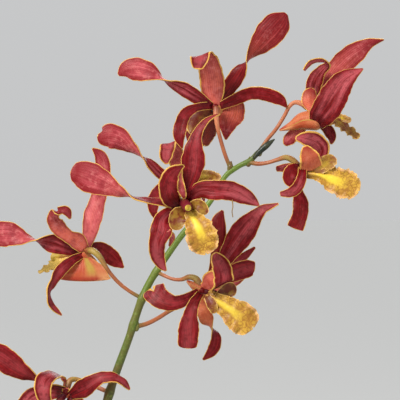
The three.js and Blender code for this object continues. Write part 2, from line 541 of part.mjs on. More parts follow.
// A thin leaf or tepal along rows of [x, y, z, half width, and the direction across it]:
// three columns of points, the outer two lifted by the cup, the same triangles on both faces
function blade(rows, { thickness = TEPAL_THICKNESS, cup = 0.15, finer = 0.8, grow = 0 } = {}) {
  const steps = Math.round((rows.length - 1) * finer);
  const columns = [-1, 0, 1];
  const points = [];
  for (let i = 0; i <= steps; i++) {
    const t = (i / steps) * (rows.length - 1);
    const row = along(rows, t);
    const heading = headingAt(rows, t);
    const across = new THREE.Vector3(...row.slice(4, 7));
    across.addScaledVector(heading, -across.dot(heading)).normalize();
    const normal = across.clone().cross(heading);
    const half = Math.max(row[3], 0.35) + grow;
    const end = i === 0 ? -grow : i === steps ? grow : 0;
    const middle = new THREE.Vector3(...row.slice(0, 3)).addScaledVector(heading, end);
    for (const face of [1, -1]) {
      for (const column of columns) {
        const lift = cup * half * (column * column - 0.5) + face * (thickness / 2 + grow);
        points.push(
          middle.clone().addScaledVector(across, column * half).addScaledVector(normal, lift),
        );
      }
    }
  }
  const at = (i, face, column) => i * 6 + face * 3 + column;
  const corners = [];
  for (let i = 0; i < steps; i++) {
    for (const column of [0, 1]) {
      const [a, b] = [at(i, 0, column), at(i, 0, column + 1)];
      const [c, d] = [at(i + 1, 0, column), at(i + 1, 0, column + 1)];
      corners.push(a, b, d, a, d, c);
      corners.push(a + 3, d + 3, b + 3, a + 3, c + 3, d + 3);
    }
    for (const [column, flip] of [[2, false], [0, true]]) {
      const [a, b] = [at(i, 0, column), at(i + 1, 0, column)];
      corners.push(...(flip ? [a, b, a + 3, b, b + 3, a + 3] : [a, a + 3, b, b, a + 3, b + 3]));
    }
  }
  for (const [i, flip] of [[0, false], [steps, true]]) {
    for (const column of [0, 1]) {
      const a = at(i, 0, column);
      const quad = flip
        ? [a, a + 1, a + 3, a + 1, a + 4, a + 3]
        : [a, a + 3, a + 1, a + 1, a + 3, a + 4];
      corners.push(...quad);
    }
  }
  const geometry = new THREE.BufferGeometry().setFromPoints(points);
  geometry.setIndex(corners);
  return solidOf(geometry);
}

function ballAt([x, y, z, radius]) {
  return solidOf(new THREE.SphereGeometry(radius, HEART_SIDES, 5).translate(x, y, z));
}

function standing(geometry) {
  return geometry.rotateX(Math.PI / 2);
}

// Terracotta pot with a collar rim and round drain holes beside the middle of its floor
function pot() {
  const underRim = POT_HEIGHT - RIM_HEIGHT;
  const profile = [
    [0, 0],
    [POT_FOOT_RADIUS - 1.5, 0],
    [POT_FOOT_RADIUS, 1.5],
    [POT_TOP_RADIUS - 1, underRim],
    [RIM_RADIUS - 1, underRim + 1.5],
    [RIM_RADIUS, POT_HEIGHT - 2.5],
    [RIM_RADIUS - 2, POT_HEIGHT],
    [innerRadius(POT_HEIGHT), POT_HEIGHT],
    [innerRadius(POT_FLOOR), POT_FLOOR],
    [0, POT_FLOOR],
  ].map(([radius, height]) => new THREE.Vector2(radius, height));
  let solid = solidOf(standing(new THREE.LatheGeometry(profile, POT_SIDES)));
  for (let k = 0; k < DRAIN_COUNT; k++) {
    const angle = ((k + 0.5) / DRAIN_COUNT) * 2 * Math.PI;
    const hole = standing(new THREE.CylinderGeometry(DRAIN_RADIUS, DRAIN_RADIUS, 30, 10));
    hole.translate(DRAIN_RING * Math.cos(angle), DRAIN_RING * Math.sin(angle), 0);
    solid = solid.subtract(solidOf(hole));
  }
  return solid;
}

// Radius of the pot's inside at a height
function innerRadius(height) {
  const slope = (POT_TOP_RADIUS - POT_FOOT_RADIUS) / POT_HEIGHT;
  return POT_FOOT_RADIUS - POT_WALL + slope * height;
}

// Coarse bark that fills the pot: a plug with chips lying on its top
function pottingMedium(holes) {
  const random = randomFrom(7);
  const plug = (top) => {
    const profile = [
      [0, POT_FLOOR + GAP],
      [innerRadius(POT_FLOOR) - 2 * GAP, POT_FLOOR + GAP],
      [innerRadius(top) - 2 * GAP, top],
      [0, top],
    ].map(([radius, height]) => new THREE.Vector2(radius, height));
    return solidOf(standing(new THREE.LatheGeometry(profile, POT_SIDES)));
  };
  const room = plug(POT_HEIGHT);
  let solid = plug(BARK_TOP);
  const goldenAngle = Math.PI * (3 - Math.sqrt(5));
  for (let k = 0; k < CHIP_COUNT; k++) {
    const size = CHIP_SIZE.map((side) => side * (0.75 + 0.5 * random()));
    const chip = new THREE.BoxGeometry(...size);
    chip.rotateX((random() - 0.5) * 0.7);
    chip.rotateY((random() - 0.5) * 0.7);
    chip.rotateZ(random() * Math.PI);
    const ring = CHIP_RING * Math.sqrt((k + 0.5) / CHIP_COUNT);
    chip.translate(ring * Math.cos(k * goldenAngle), ring * Math.sin(k * goldenAngle), 0);
    chip.translate(0, 0, BARK_TOP + 2 * random());
    solid = solid.add(solidOf(chip).intersect(room));
  }
  return largestBody(holes.reduce((left, hole) => left.subtract(hole), solid));
}

// Rows of [x, y, z, radius] of a cane: thin foot, swollen middle, slim top
function caneRows({ foot, top, radius }) {
  const rows = [];
  const count = 7;
  for (let k = 0; k < count; k++) {
    const u = k / (count - 1);
    const lean = Math.pow(u, 1.35);
    rows.push([
      foot[0] + (top[0] - foot[0]) * lean,
      foot[1] + (top[1] - foot[1]) * lean,
      CANE_FOOT + (top[2] - CANE_FOOT) * u,
      radius * (0.55 + 0.45 * Math.sin(Math.PI * Math.pow(u, 0.8))) * (u === 1 ? 0.75 : 1),
    ]);
  }
  return rows;
}

// Roots that leave the foot of a cane and run out over the bark
function rootRows({ foot }, k) {
  const angle = (k - 0.5) * Math.PI + 0.4 * Math.sign(foot[0]) * (k === 0 ? 1 : -1);
  const reach = [0, 8, 15, 22];
  const heights = [BARK_TOP + 6, BARK_TOP + 7.5, BARK_TOP + 5, BARK_TOP - 3];
  return reach.map((r, i) => {
    const swing = angle + 0.25 * Math.sin(2.1 * i + k);
    return [
      foot[0] + r * Math.cos(swing),
      foot[1] + r * Math.sin(swing),
      heights[i],
      i === reach.length - 1 ? ROOT_RADIUS * 0.7 : ROOT_RADIUS,
    ];
  });
}

// One arching leaf: it leaves the cane at base, goes out along the plane and hangs at its end
function leaf(base, bearing, length, rise) {
  const out = new THREE.Vector3(Math.cos(bearing), Math.sin(bearing), 0);
  const across = new THREE.Vector3(-out.y, out.x, 0).multiplyScalar(-1);
  const shape = [
    [0, 0, 0.35],
    [0.22, rise, 0.85],
    [0.48, 1.55 * rise, 1],
    [0.74, 1.35 * rise, 0.9],
    [0.93, 0.75 * rise, 0.5],
    [1, 0.4 * rise, 0.12],
  ];
  const rows = shape.map(([reach, lift, width]) => {
    const point = base.clone().addScaledVector(out, reach * length);
    point.z += lift * length;
    return [...point.toArray(), width * LEAF_HALF_WIDTH, ...across.toArray()];
  });
  return blade(rows, { thickness: LEAF_THICKNESS, cup: 0.3, finer: 1 });
}

// A leafy cane: nodes every LEAF_SPACING, leaves by turns on its two sides, roots at its foot
function leafyCane(cane, index) {
  const random = randomFrom(40 + index);
  const rows = caneRows(cane);
  const solids = [sweep(rows, { sides: CANE_SIDES, rings: 11 })];
  for (const k of [0, 1]) solids.push(sweep(rootRows(cane, k), { sides: 6 }));
  const plane = THREE.MathUtils.degToRad(LEAF_PLANE + 4 * (random() - 0.5));
  const leafy = cane.top[2] - 6 - cane.firstLeaf;
  const leaves = Math.floor(leafy / LEAF_SPACING) + 1;
  for (let k = 0; k < leaves; k++) {
    const height = cane.firstLeaf + k * LEAF_SPACING;
    const t = ((height - CANE_FOOT) / (cane.top[2] - CANE_FOOT)) * (rows.length - 1);
    const side = (k + index) % 2 === 0 ? 0 : Math.PI;
    const length = 92 + 20 * random() - 26 * Math.pow(k / leaves, 3);
    const rise = 0.3 + 0.12 * random();
    solids.push(leaf(pointAt(rows, t), plane + side, length, rise));
  }
  return joined(solids);
}

// Turns a bloom's stations about its heart and moves them to another heart
function repeated({ name, like, heart, turn, pedicel }) {
  const source = BLOOMS.find((bloom) => bloom.name === like);
  const angle = THREE.MathUtils.degToRad(turn);
  const moved = ([across, down, ...rest]) => {
    const right = across - source.heart[0];
    const below = down - source.heart[1];
    return [
      heart[0] + right * Math.cos(angle) - below * Math.sin(angle),
      heart[1] + right * Math.sin(angle) + below * Math.cos(angle),
      ...rest,
    ];
  };
  const movedAll = (blades) =>
    Object.fromEntries(Object.entries(blades).map(([key, rows]) => [key, rows.map(moved)]));
  return {
    name,
    pedicel,
    heart: moved(source.heart),
    column: source.column.map(moved),
    chin: source.chin.map(moved),
    tepals: movedAll(source.tepals),
    lip: movedAll(source.lip),
  };
}

// A small pointed bract under a pedicel
function bractAt([across, down, depth]) {
  const rows = [
    [across, down + 3, depth, 3],
    [across + 1, down - 1, depth, 3.2],
    [across + 2, down - 6, depth, 0.8],
  ];
  return sweep(rows.map(onSheet), { rings: 3, sides: 4 });
}

const allBlooms = [...BLOOMS, ...REPEATED_BLOOMS.map(repeated)];
const orchid = new THREE.Group();

const grownCanes = CANES.map((cane) => [
  sweep(caneRows(cane), { sides: CANE_SIDES, rings: 11, grow: GAP }),
  ...[0, 1].map((k) => sweep(rootRows(cane, k), { sides: 6, grow: GAP })),
]);
orchid.add(meshOf("pot", pot(), "terracotta"));
orchid.add(meshOf("potting_medium", pottingMedium(grownCanes.flat()), "bark"));
CANES.forEach((cane, index) => {
  orchid.add(meshOf(cane.name, leafyCane(cane, index), "cane"));
});

const stemRows = STEM.map(onSheet);
const stemSolid = joined([
  sweep(stemRows, { sides: 7, rings: 21 }),
  sweep(TIP_BRACT.map(onSheet), { rings: 5 }),
  ...allBlooms.map((bloom) => bractAt(bloom.pedicel[0])),
]).subtract(grownCanes[1][0]);
orchid.add(meshOf("flower_stem", largestBody(stemSolid), "stem"));

const grownStem = joined([
  sweep(stemRows, { sides: 7, rings: 21, grow: GAP }),
  sweep(TIP_BRACT.map(onSheet), { rings: 5, grow: GAP }),
  ...allBlooms.map((bloom) => bractAt(bloom.pedicel[0])),
]);

for (const bloom of allBlooms) {
  const pedicelRows = bloom.pedicel.map(onSheet);
  const columnRows = bloom.column.map(onSheet);
  const [x, y, z, heartRadius] = onSheet(bloom.heart);
  const tepals = (grow) =>
    joined([
      ballAt([x, y, z, heartRadius + grow]),
      sweep(bloom.chin.map(onSheet), { grow }),
      ...Object.values(bloom.tepals).map((rows) => sheetBlade(rows, { grow })),
    ]);
  const lip = joined(
    Object.values(bloom.lip).map((rows) =>
      sheetBlade(rows, { thickness: LIP_THICKNESS, cup: 0.25 }),
    ),
  );
  const grownTepals = tepals(GAP);
  const grownPedicel = sweep(pedicelRows, { grow: GAP });
  const grownColumn = sweep(columnRows, { grow: GAP });
  const pieces = {
    pedicel: sweep(pedicelRows).subtract(grownStem).subtract(grownTepals),
    column: sweep(columnRows).subtract(grownTepals).subtract(grownPedicel),
    lip: lip.subtract(grownTepals).subtract(grownColumn).subtract(grownPedicel),
    tepals: tepals(0),
  };
  for (const [piece, solid] of Object.entries(pieces)) {
    orchid.add(meshOf(bloom.name + "_" + piece, largestBody(solid), piece));
  }
}

export default orchid;
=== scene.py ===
import math

import bpy
import numpy as np
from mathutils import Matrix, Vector


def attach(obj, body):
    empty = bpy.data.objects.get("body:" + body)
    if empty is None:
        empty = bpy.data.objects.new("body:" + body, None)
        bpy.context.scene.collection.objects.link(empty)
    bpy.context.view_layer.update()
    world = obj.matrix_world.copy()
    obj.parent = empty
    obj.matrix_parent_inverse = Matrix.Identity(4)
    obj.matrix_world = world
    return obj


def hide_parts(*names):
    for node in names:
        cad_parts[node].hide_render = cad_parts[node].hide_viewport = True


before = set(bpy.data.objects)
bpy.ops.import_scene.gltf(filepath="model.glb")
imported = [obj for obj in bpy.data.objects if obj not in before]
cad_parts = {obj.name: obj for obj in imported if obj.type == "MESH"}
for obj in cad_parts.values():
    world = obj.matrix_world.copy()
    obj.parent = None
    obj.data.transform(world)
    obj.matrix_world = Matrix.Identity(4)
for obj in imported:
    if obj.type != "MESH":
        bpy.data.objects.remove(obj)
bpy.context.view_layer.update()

# The spray is laid out on a sheet of 400 by 400 units seen from the front, from SHEET_DISTANCE
# away: a point is [across, down, depth in mm], and depth grows away from the viewer. At depth 0
# one unit is SHEET_UNIT. The camera's shift is in units too, across and up, its sensor in mm.
SHEET_UNIT = 0.00045
SHEET_DISTANCE = 0.9
SHEET_MIDDLE = 200
SPRAY_X = 0.040
SPRAY_Z = 0.610
CAMERA_SHIFT = (-0.25, 0.5)
SENSOR = 36

# The flower stem from the cane to its tip and the dry bract there: [across, down, depth, radius
# in units]
STEM = [
  [79, 646, 1, 5.2], [81, 600, -1, 5.4], [86, 540, 0, 5.3], [92, 480, 0, 5.1], [99, 432, 0, 4.7],
  [107, 400, 0, 4.4], [116, 372, 0, 4.1], [128.5, 338, 0, 3.9], [140, 303, 0, 3.9],
  [151, 279, 0, 3.6], [167, 255, 0, 3.3], [183, 233, 0, 3.1], [210, 201, 0, 2.7],
  [225, 176, 0, 2.5], [238, 166, 0, 2.5], [250, 160, 0, 2.5], [257, 153, 0, 2.4],
  [265, 146, 0, 1.6],
]
TIP_BRACT = [[254, 157, -1, 2.4], [260, 150.5, -1, 3.6], [267, 144.5, -1, 3.8], [274, 139, -1, 1]]
TIP_BRACT_SHARE = 0.8

# Each bloom: round pieces as [across, down, depth, radius], flat ones as
# [across, down, depth, half width, turn in degrees]. Turn 0 has the upper face to the viewer,
# 180 the under face, and 90 is edge on.
BLOOMS = [
  {
    "name": "bloom_1",
    "heart": [215, 106, 3, 6],
    "pedicel": [[229.3, 166, 0, 2], [223.8, 151, -1, 2], [218.2, 131, -2, 2], [216, 117, -2, 2.6],
      [216, 108, -1, 3.4]],
    "column": [[213, 105, 6, 3.6], [210, 108, 11, 4], [208, 112, 16, 3.6]],
    "chin": [[217, 107, 4, 5], [221, 116, 6, 4.5], [224, 126, 6, 3], [225.5, 136, 5, 1.2]],
    "tepals": {
      "dorsal": [[215, 107, 3, 5, 180], [213, 92, 1, 11.5, 180], [211.5, 78, -3, 12.3, 180],
        [209, 66, -8, 11.5, 180], [205, 56.5, -13, 11, -150], [201, 54.5, -18, 10.3, -70],
        [198.5, 60.5, -21, 8.7, 0], [197.5, 69, -21, 4.5, 0]],
      "leftPetal": [[211, 106, 2, 4, 0], [197, 97, -1, 7, 10], [185, 89.5, -3, 7.5, 15],
        [174, 84, -4, 6.5, 45], [165, 80.3, -5, 6.5, 93], [156, 75.5, -5, 7.5, 140],
        [146, 71, -4, 10.5, 172], [135, 68.5, -3, 11.5, 180], [125.5, 69.5, -2, 9, 180],
        [118, 74.5, -1, 1.5, 180]],
      "rightPetal": [[219, 103, 3, 4, 0], [229, 87, 2, 7.5, 0], [237, 75, 1, 8, 5],
        [242, 67, 0, 7.5, 40], [246.5, 60.5, 0, 6.5, 92], [252, 52, -1, 7.2, 145],
        [260.6, 42.7, -2, 11.4, 172], [270.6, 31.2, -3, 14.5, 180], [279.4, 21.2, -3, 12.5, 180],
        [286, 13, -2, 2.5, 180]],
      "rightLateral": [[219, 106, 3, 4, 0], [235, 99, 0, 6, -10], [250, 92.8, -2, 6.5, -15],
        [265, 93.8, -3, 6.9, -15], [279, 98.8, -3, 6, -10], [287, 107, -2, 1, 0]],
      "rightFlare": [[228, 99, 3, 8, 180], [231, 106, 4, 13, 180], [231, 113, 4, 13.5, 180],
        [228, 121, 4, 11.5, 180], [226.5, 130, 4, 6.5, 180], [225.5, 139.5, 4, 1, 180]],
      "leftLateral": [[211, 105, 2, 4, 0], [197, 106.8, -2, 4.3, 0], [186, 112.7, -5, 6, 0],
        [180.7, 124, -6, 6.6, 0], [179, 136, -7, 6, 0], [182, 148, -7, 1, 0]],
    },
    "lip": {
      "midLobe": [[213, 112, 8, 4, 180], [210, 122, 11, 8.5, 180], [207, 133, 13, 9, 180],
        [204, 146, 13, 3.5, 180]],
      "sideLobe": [[211, 110, 8, 4, 180], [200, 114, 9, 9, 180], [193, 125, 9, 7, 180],
        [191, 134, 8, 2, 180]],
    },
  },
  {
    "name": "bloom_2",
    "heart": [312, 113, -1, 7.5],
    "pedicel": [[259, 151, 0, 1.9], [266.8, 139.5, 1, 1.9], [276, 128.3, 0, 1.9],
      [284, 115.6, 0, 1.9], [289, 106.2, -1, 2], [294.5, 102, -1, 2.2], [301, 103, -1, 2.8],
      [307, 107, -1, 3]],
    "column": [[318, 116, 1, 3.6], [325, 117, 2, 4], [332, 118, 3, 3.6]],
    "chin": [[316, 120, -2, 10], [303, 120.5, -1, 9], [291, 125.5, -1, 4.5], [280, 129.5, -1, 1.2]],
    "tepals": {
      "dorsal": [[311.5, 110, 0, 5, 30], [312, 93, 3, 7, 15], [315, 80, 3, 8.2, 5],
        [321, 70.5, 1, 6, 20], [327, 64, -2, 3.4, 50], [320, 59.8, -6, 3, 45],
        [310.5, 61.5, -7, 3.2, 45], [303.5, 70, -7, 1.6, 40]],
      "farPetal": [[314, 110, 1, 4, 180], [323.5, 90, 5, 8, 180], [333.5, 73.7, 7, 10.4, 180],
        [345.5, 60.2, 7, 11.8, 180], [357.4, 50.6, 6, 10, 175], [369, 43, 5, 5.5, 170],
        [384, 39, 4, 0.8, 160]],
      "nearPetal": [[316, 125, -4, 7, 0], [320.5, 116.5, -9, 12.5, 0], [328, 105.5, -11, 14.2, 0],
        [335, 93, -12, 14.1, 0], [342.3, 82, -12, 11.3, 0], [351, 74.5, -11, 7.4, 10],
        [363, 68.3, -9, 0.8, 20]],
      "chinLobe": [[304, 124, 1, 5, 180], [294, 134, 2, 6.5, 180], [288, 140, 2, 6, 180],
        [284.5, 145, 2, 2, 180]],
      "farLateral": [[317, 119, 2, 4, 0], [326, 127, 4, 5.5, 0], [331.3, 136, 4, 5, 0],
        [331, 144, 4, 1.2, 0]],
    },
    "lip": {
      "midLobe": [[322, 121, -1, 4, 25], [335, 121, 1, 4.5, 25], [345, 127, 2, 5, 25],
        [352.5, 132.5, 2, 4.6, 25], [358.5, 138, 1, 3.4, 25]],
      "sideLobe": [[327, 118, 2, 3, 0], [337, 117.5, 3, 3.5, 0], [344, 118, 3, 3.6, 0],
        [351, 120.5, 3, 2.5, 0]],
    },
  },
  {
    "name": "bloom_3",
    "heart": [300, 167, -3, 6],
    "pedicel": [[248, 161.5, 0, 2.4], [258, 163.2, -1, 2.3], [268, 162, -2, 2],
      [277, 159.3, -3, 2.1], [285, 157, -3, 2.6], [291.5, 159, -3, 3], [297, 164, -3, 3]],
    "column": [[304, 168, -2, 3.4], [311, 170, -2, 3.8], [318, 171, -3, 3.4]],
    "chin": [[299, 169, -2, 5], [295, 174, 1, 4.5], [290, 179, 3, 1.5]],
    "tepals": {
      "dorsal": [[301, 166, -3, 4, 0], [313, 162, -2, 5, 0], [320.5, 155, -1, 6, 0],
        [320.5, 147.5, -2, 9.7, 0], [313, 140.3, -4, 9.5, 0], [303.5, 138, -6, 6.8, 0],
        [295, 138, -6, 2, 0]],
      "curledPetal": [[300, 166, -4, 4, 0], [292.6, 170.5, -8, 8, 0], [289.6, 179, -9, 7, 0],
        [293, 186, -9, 2.5, 0]],
      "farPetal": [[298, 166, 0, 3.5, 180], [287, 167, 2, 4.4, 180], [275.5, 168.5, 2, 2.8, 180]],
      "nearLateral": [[302, 167, -5, 4, 0], [301.5, 177, -10, 5, 0], [297, 187, -12, 5.8, 0],
        [290, 192, -12, 5, 0], [279.6, 193.6, -11, 2.5, 0]],
      "farLateral": [[301, 168, -1, 4, 0], [297, 186, 2, 4.5, 0], [300.2, 202, 2, 7.8, 0],
        [299.8, 214, 1, 8, 0], [294.6, 228.5, 0, 8.8, 0]],
      "dorsalBack": [[311, 169, -5.5, 11.8, 180], [310, 160, -9, 10.7, 180],
        [307, 152, -10, 8, 180], [304.5, 145, -10, 2.5, 180]],
    },
    "lip": {
      "midLobe": [[307, 173, -4, 5, 0], [319, 174.5, -6, 6.5, 0], [331, 178.5, -7, 12, 0],
        [343.5, 183, -8, 14.5, 0], [352.5, 188, -8, 12.2, 0], [359, 191.5, -8, 6, 0]],
      "sideLobe": [[314, 171, -6, 4, 0], [322, 166, -7, 6.5, 0], [329.3, 160, -8, 7.5, 0],
        [332.5, 154.5, -8, 5.3, 0]],
    },
  },
  {
    "name": "bloom_4",
    "heart": [182, 204, -21, 7],
    "pedicel": [[195, 219, 0, 2.2], [193, 214, -7, 2.2], [189, 208, -13, 2.6], [184, 204, -18, 3]],
    "column": [[183.5, 201.5, -23.5, 4.4], [185.5, 204.5, -29, 5], [187.5, 207, -34, 4.6]],
    "chin": [[184, 207, -20, 5], [189, 214, -15, 4], [193, 222, -12, 1.6]],
    "tepals": {
      "dorsal": [[178, 205, -23, 6, 0], [170.5, 197, -28, 9.5, 0], [168, 184.5, -31, 9.5, 0],
        [172, 173.5, -32, 8, -10], [179, 167.5, -31, 4, -20], [184, 165, -30, 1, -20]],
      "dorsalCurl": [[180, 167.5, -30, 2.5, 180], [179.5, 176, -29, 3, 180],
        [180.5, 186, -29, 4.3, 180], [183, 194, -28, 3.4, 180], [184, 198.5, -27, 1.2, 180]],
      "topPetal": [[186, 202, -23, 4, 0], [187.5, 188, -25.5, 6, 0], [191.5, 173, -27, 9.5, 0],
        [193, 159, -27, 11.8, 0], [193.8, 146, -27, 8.8, 0], [197, 133, -26, 5.2, 15],
        [204.5, 122, -25, 3.5, 30], [212.5, 116.3, -24, 2.5, 40], [220, 113.5, -23, 0.8, 50]],
      "leftPetal": [[178, 205, -22, 4, 0], [161, 201.5, -25, 5, -35], [147, 199.7, -25, 6, -62],
        [133, 196.3, -24, 6.5, -92], [119, 190, -23, 7.5, -140], [105, 183.5, -21, 11.7, -172],
        [92, 178, -20, 15, -180], [80.3, 173.5, -19, 13.4, -180], [73, 172.3, -19, 8.5, -180],
        [70, 171.8, -19, 1.5, -180]],
      "rightLateral": [[186, 201, -23, 4, 0], [199, 190, -27, 8, 0], [214, 189.6, -30, 9.8, 0],
        [230, 190.3, -30, 9.5, 0], [245, 196, -28, 8, 0], [254, 201.5, -26, 4.2, 0],
        [259, 205.5, -25, 0.8, 0]],
      "leftLateral": [[178, 206, -22, 4, 0], [164, 217, -28, 8, 0], [160.8, 230, -31, 11, 0],
        [157, 242, -31, 8.3, 0], [157, 254, -29, 7.4, 0], [161, 264, -27, 5, 0],
        [166, 270.5, -26, 1, 0]],
      "leftFold": [[168, 230, -31, 2, 180], [172, 236.5, -28, 3, 180], [169, 246, -27, 1, 180]],
    },
    "lip": {
      "midLobe": [[188, 210, -27, 4, 0], [192.5, 217, -31, 8, 0], [198, 227, -34, 13.5, 0],
        [202, 238, -35, 15.5, 0], [204.5, 247, -34, 13, 0], [206, 254, -33, 7.5, 0]],
      "leftLobe": [[185, 210, -26.5, 4, 0], [178.5, 215, -29, 8.5, 0], [177, 223, -30, 8, 0],
        [178.5, 229.5, -30, 5, 0]],
      "rightLobe": [[190, 206, -27, 4, 0], [197.5, 205, -29.5, 6.5, 0], [203, 209, -30, 5.5, 0],
        [206, 214, -30, 3, 0]],
    },
  },
  {
    "name": "bloom_5",
    "heart": [202, 290, -10, 6],
    "pedicel": [[156, 271, 0, 2.3], [165, 275.5, -1, 1.9], [173, 278.6, -3, 1.8], [181, 279, -5, 2],
      [189, 276.5, -7, 2.6], [196, 278.5, -8, 3.2], [200, 285, -9, 3.2]],
    "column": [[206, 291, -10.5, 3.5], [213, 293, -10.5, 3.9], [220, 295.5, -10.5, 3.5]],
    "chin": [[201, 289, -9, 5], [195, 286, -8, 4.5], [187.5, 281, -7, 1.6]],
    "tepals": {
      "dorsal": [[199, 288, -9, 3.5, 180], [205, 285.5, -11, 5.5, 180], [211.5, 281, -14, 11, 180],
        [221, 283, -19, 11, -105], [223.5, 278, -21, 10, 0], [221, 266, -20, 9.3, 0],
        [216.5, 257.5, -18, 6.5, 0], [213.5, 252.5, -17, 2.5, 0]],
      "rightPetal": [[203.5, 289, -9, 4, 0], [220.5, 265, -4, 6.5, 0], [231.3, 248.4, -3, 10.3, 0],
        [241.4, 233.3, -3, 13.1, 0], [251.5, 220.2, -3, 9.6, 0], [258, 213, -3, 6.5, 10],
        [263, 208.5, -3, 5, 20], [270, 206, -3, 3.5, 30], [278.5, 203.3, -3, 1.2, 40]],
      "leftPetal": [[198, 291, -11, 4, 0], [184.6, 299.3, -12, 6, 0], [172.8, 302.3, -13, 8, 0],
        [160.5, 298, -12, 10.5, 0], [154, 291, -10, 12, 0], [151.5, 287, -9, 11.5, 0]],
      "nearLateral": [[200, 293, -12, 4, 0], [193.5, 303, -15, 5.5, 0], [190, 315, -16, 7.5, 0],
        [188.6, 327, -16, 10.2, 0], [187.7, 339, -15, 10.2, 0], [187, 348, -14, 9, 0]],
      "farLateral": [[203.5, 289.5, -9, 4, 0], [222, 278, -5, 7, 0], [235, 272, -3, 9, 0],
        [246, 268.5, -2, 9.3, 0], [252, 267.3, -2, 7.4, 0], [255, 267.5, -2, 5.2, 0]],
    },
    "lip": {
      "midLobe": [[207, 295, -13, 4.5, 0], [216, 300, -16, 8, 0], [227.8, 307.6, -18, 11.5, 0],
        [238.6, 315.6, -20, 15.5, 0], [247.5, 322.6, -20, 14.4, 0], [253.6, 327.8, -19, 8.3, 0]],
      "farLobe": [[216, 299, -15.5, 4, 0], [224, 292.5, -14.5, 6.8, 0], [231, 288.5, -14, 7.2, 0],
        [236, 286.5, -13.5, 4.8, 0]],
      "nearLobe": [[207, 296, -15, 3.5, 0], [211.5, 304, -17, 5.3, 0], [214.5, 313, -17, 3, 0]],
    },
  },
  {
    "name": "bloom_6",
    "heart": [84, 251, 0, 6],
    "pedicel": [[140.2, 297, 0, 2.1], [129.5, 290.8, -1, 1.9], [119.6, 283.2, -2, 2],
      [111, 274, -4, 2], [105, 265.5, -6, 2.2], [99, 256, -7, 2.8], [92.5, 250.5, -6, 3.2],
      [86.5, 250, -3, 3.2]],
    "column": [[81.5, 251.5, 1, 3.4], [74, 254, 5.5, 3.8], [67, 256.5, 10, 3.4]],
    "chin": [[84, 254, -1, 5], [91, 262, 1, 5.5], [98, 269, 1, 4], [106, 275, 1, 1.2]],
    "tepals": {
      "chinSail": [[83, 254, -1, 4, 180], [83.5, 262, -3, 12, 180], [84.5, 270, -4, 20.5, 180],
        [84.5, 277, -4, 25.5, 180], [84.5, 281, -4, 25.5, 180]],
      "dorsal": [[84, 249, -2, 5.5, 180], [77, 240.5, -4, 8.9, 180], [68.5, 236, -6, 6.5, 180],
        [60, 229, -8, 7.6, 180], [54.6, 220.5, -11, 8, 180], [54.5, 213, -15, 5.5, 185],
        [60.4, 209.8, -18, 4, 0], [66.3, 210.8, -18.5, 4.9, 0], [70.2, 218.4, -17, 1.2, 0]],
      "topPetal": [[87, 248, 2, 3, 180], [89.5, 233, 3, 7.5, 180], [92.5, 217, 4, 9.7, 180],
        [97, 201, 5, 8.3, 180], [101.5, 184, 6, 7.5, 180], [103.3, 168, 6, 7.3, 180],
        [100, 155.5, 5, 6.3, 180], [92, 147.5, 4, 1, 180]],
      "leftPetal": [[81, 251, -1, 4, 0], [67, 248, -3, 7.3, 0], [54.5, 243.5, -4, 9.5, 0],
        [44, 241.3, -5, 9, 45], [34, 240.2, -5, 7.5, 92], [23, 238.5, -5, 8.5, 140],
        [10, 234, -4, 12.2, 175], [-2, 233.5, -3, 12.7, 180], [-10, 232.5, -2, 8.5, 180],
        [-15, 232, -2, 1.5, 180]],
      "rightLateral": [[87, 249, 2, 3, 0], [97.5, 247.2, 5, 6.5, 0], [107.7, 253.8, 7, 8.7, 0],
        [116.2, 261, 8, 6.7, 0], [123.6, 267.4, 8, 1, 0]],
      "leftLateral": [[83, 254, -2, 3, 0], [71, 260.5, -6, 5, 0], [60.5, 270, -8, 6, 0],
        [52.8, 282, -9, 4.8, 45], [48.9, 292.4, -9, 5, 75], [51.2, 304.8, -8, 4.5, 50],
        [61.6, 315, -7, 0.8, 20]],
    },
    "lip": {
      "midLobe": [[76, 258, 5, 4, 180], [64, 261.5, 8, 4.5, 180], [55, 263, 10, 5, 170],
        [47, 267.5, 12, 4, 150], [38, 272, 12, 1.5, 140]],
      "sideLobe": [[76, 255.5, 6, 3.5, 180], [66, 255.5, 9, 5, 180], [57, 256.5, 10, 6.3, 180],
        [50.5, 259, 10, 3, 180]],
    },
  },
  {
    "name": "bloom_7",
    "heart": [66, 392, 0, 6],
    "pedicel": [[110, 392, 0, 2.4], [100, 388, 3, 2.3], [88, 383, 4, 2.2], [77, 379, 4, 2.4],
      [70, 380, 3, 3], [67, 387, 2, 3.2]],
    "column": [[63, 396, -3, 3.4], [59, 401, -6, 3.8], [56, 406, -9, 3.4]],
    "chin": [[68, 393, 1, 5], [75, 397, 2, 4.2], [82, 401, 2, 1.5]],
    "tepals": {
      "dorsal": [[65.5, 390, 0, 4, 180], [65, 381.5, 4, 2.4, 150], [60.5, 375.5, 2, 3.5, -110],
        [52, 373.5, -4, 8, -60], [44.5, 379, -9, 9, -10], [42.5, 388, -12, 8.5, 0],
        [44.5, 398, -12, 7, 0], [51, 407, -9, 2, 0]],
      "leftPetal": [[65, 390, 1, 4, 20], [52, 386, 3, 5, 55], [38, 380, 1, 5, 65],
        [27, 374.5, -2, 7.8, 30], [14, 366, -3, 11.2, 0], [1, 357, -3, 12.6, 0],
        [-10, 350, -3, 10, 0], [-18, 345, -3, 1.5, 0]],
      "rightPetal": [[70, 395, -2, 4.5, 0], [82, 388.5, -5, 9.5, 0], [92, 381.9, -7, 8, 0],
        [103, 376.8, -8, 6.5, 35], [115, 377.2, -8, 6, 50], [123.6, 382.2, -7, 5, 45],
        [129.5, 389.4, -6, 1, 30]],
      "leftLateral": [[63, 393, 2, 4, 0], [47.5, 392.3, 5, 8.3, 0], [33, 396.5, 5, 9.6, 0],
        [23, 407, 3, 8, 0], [16, 419, 1, 1.5, 0]],
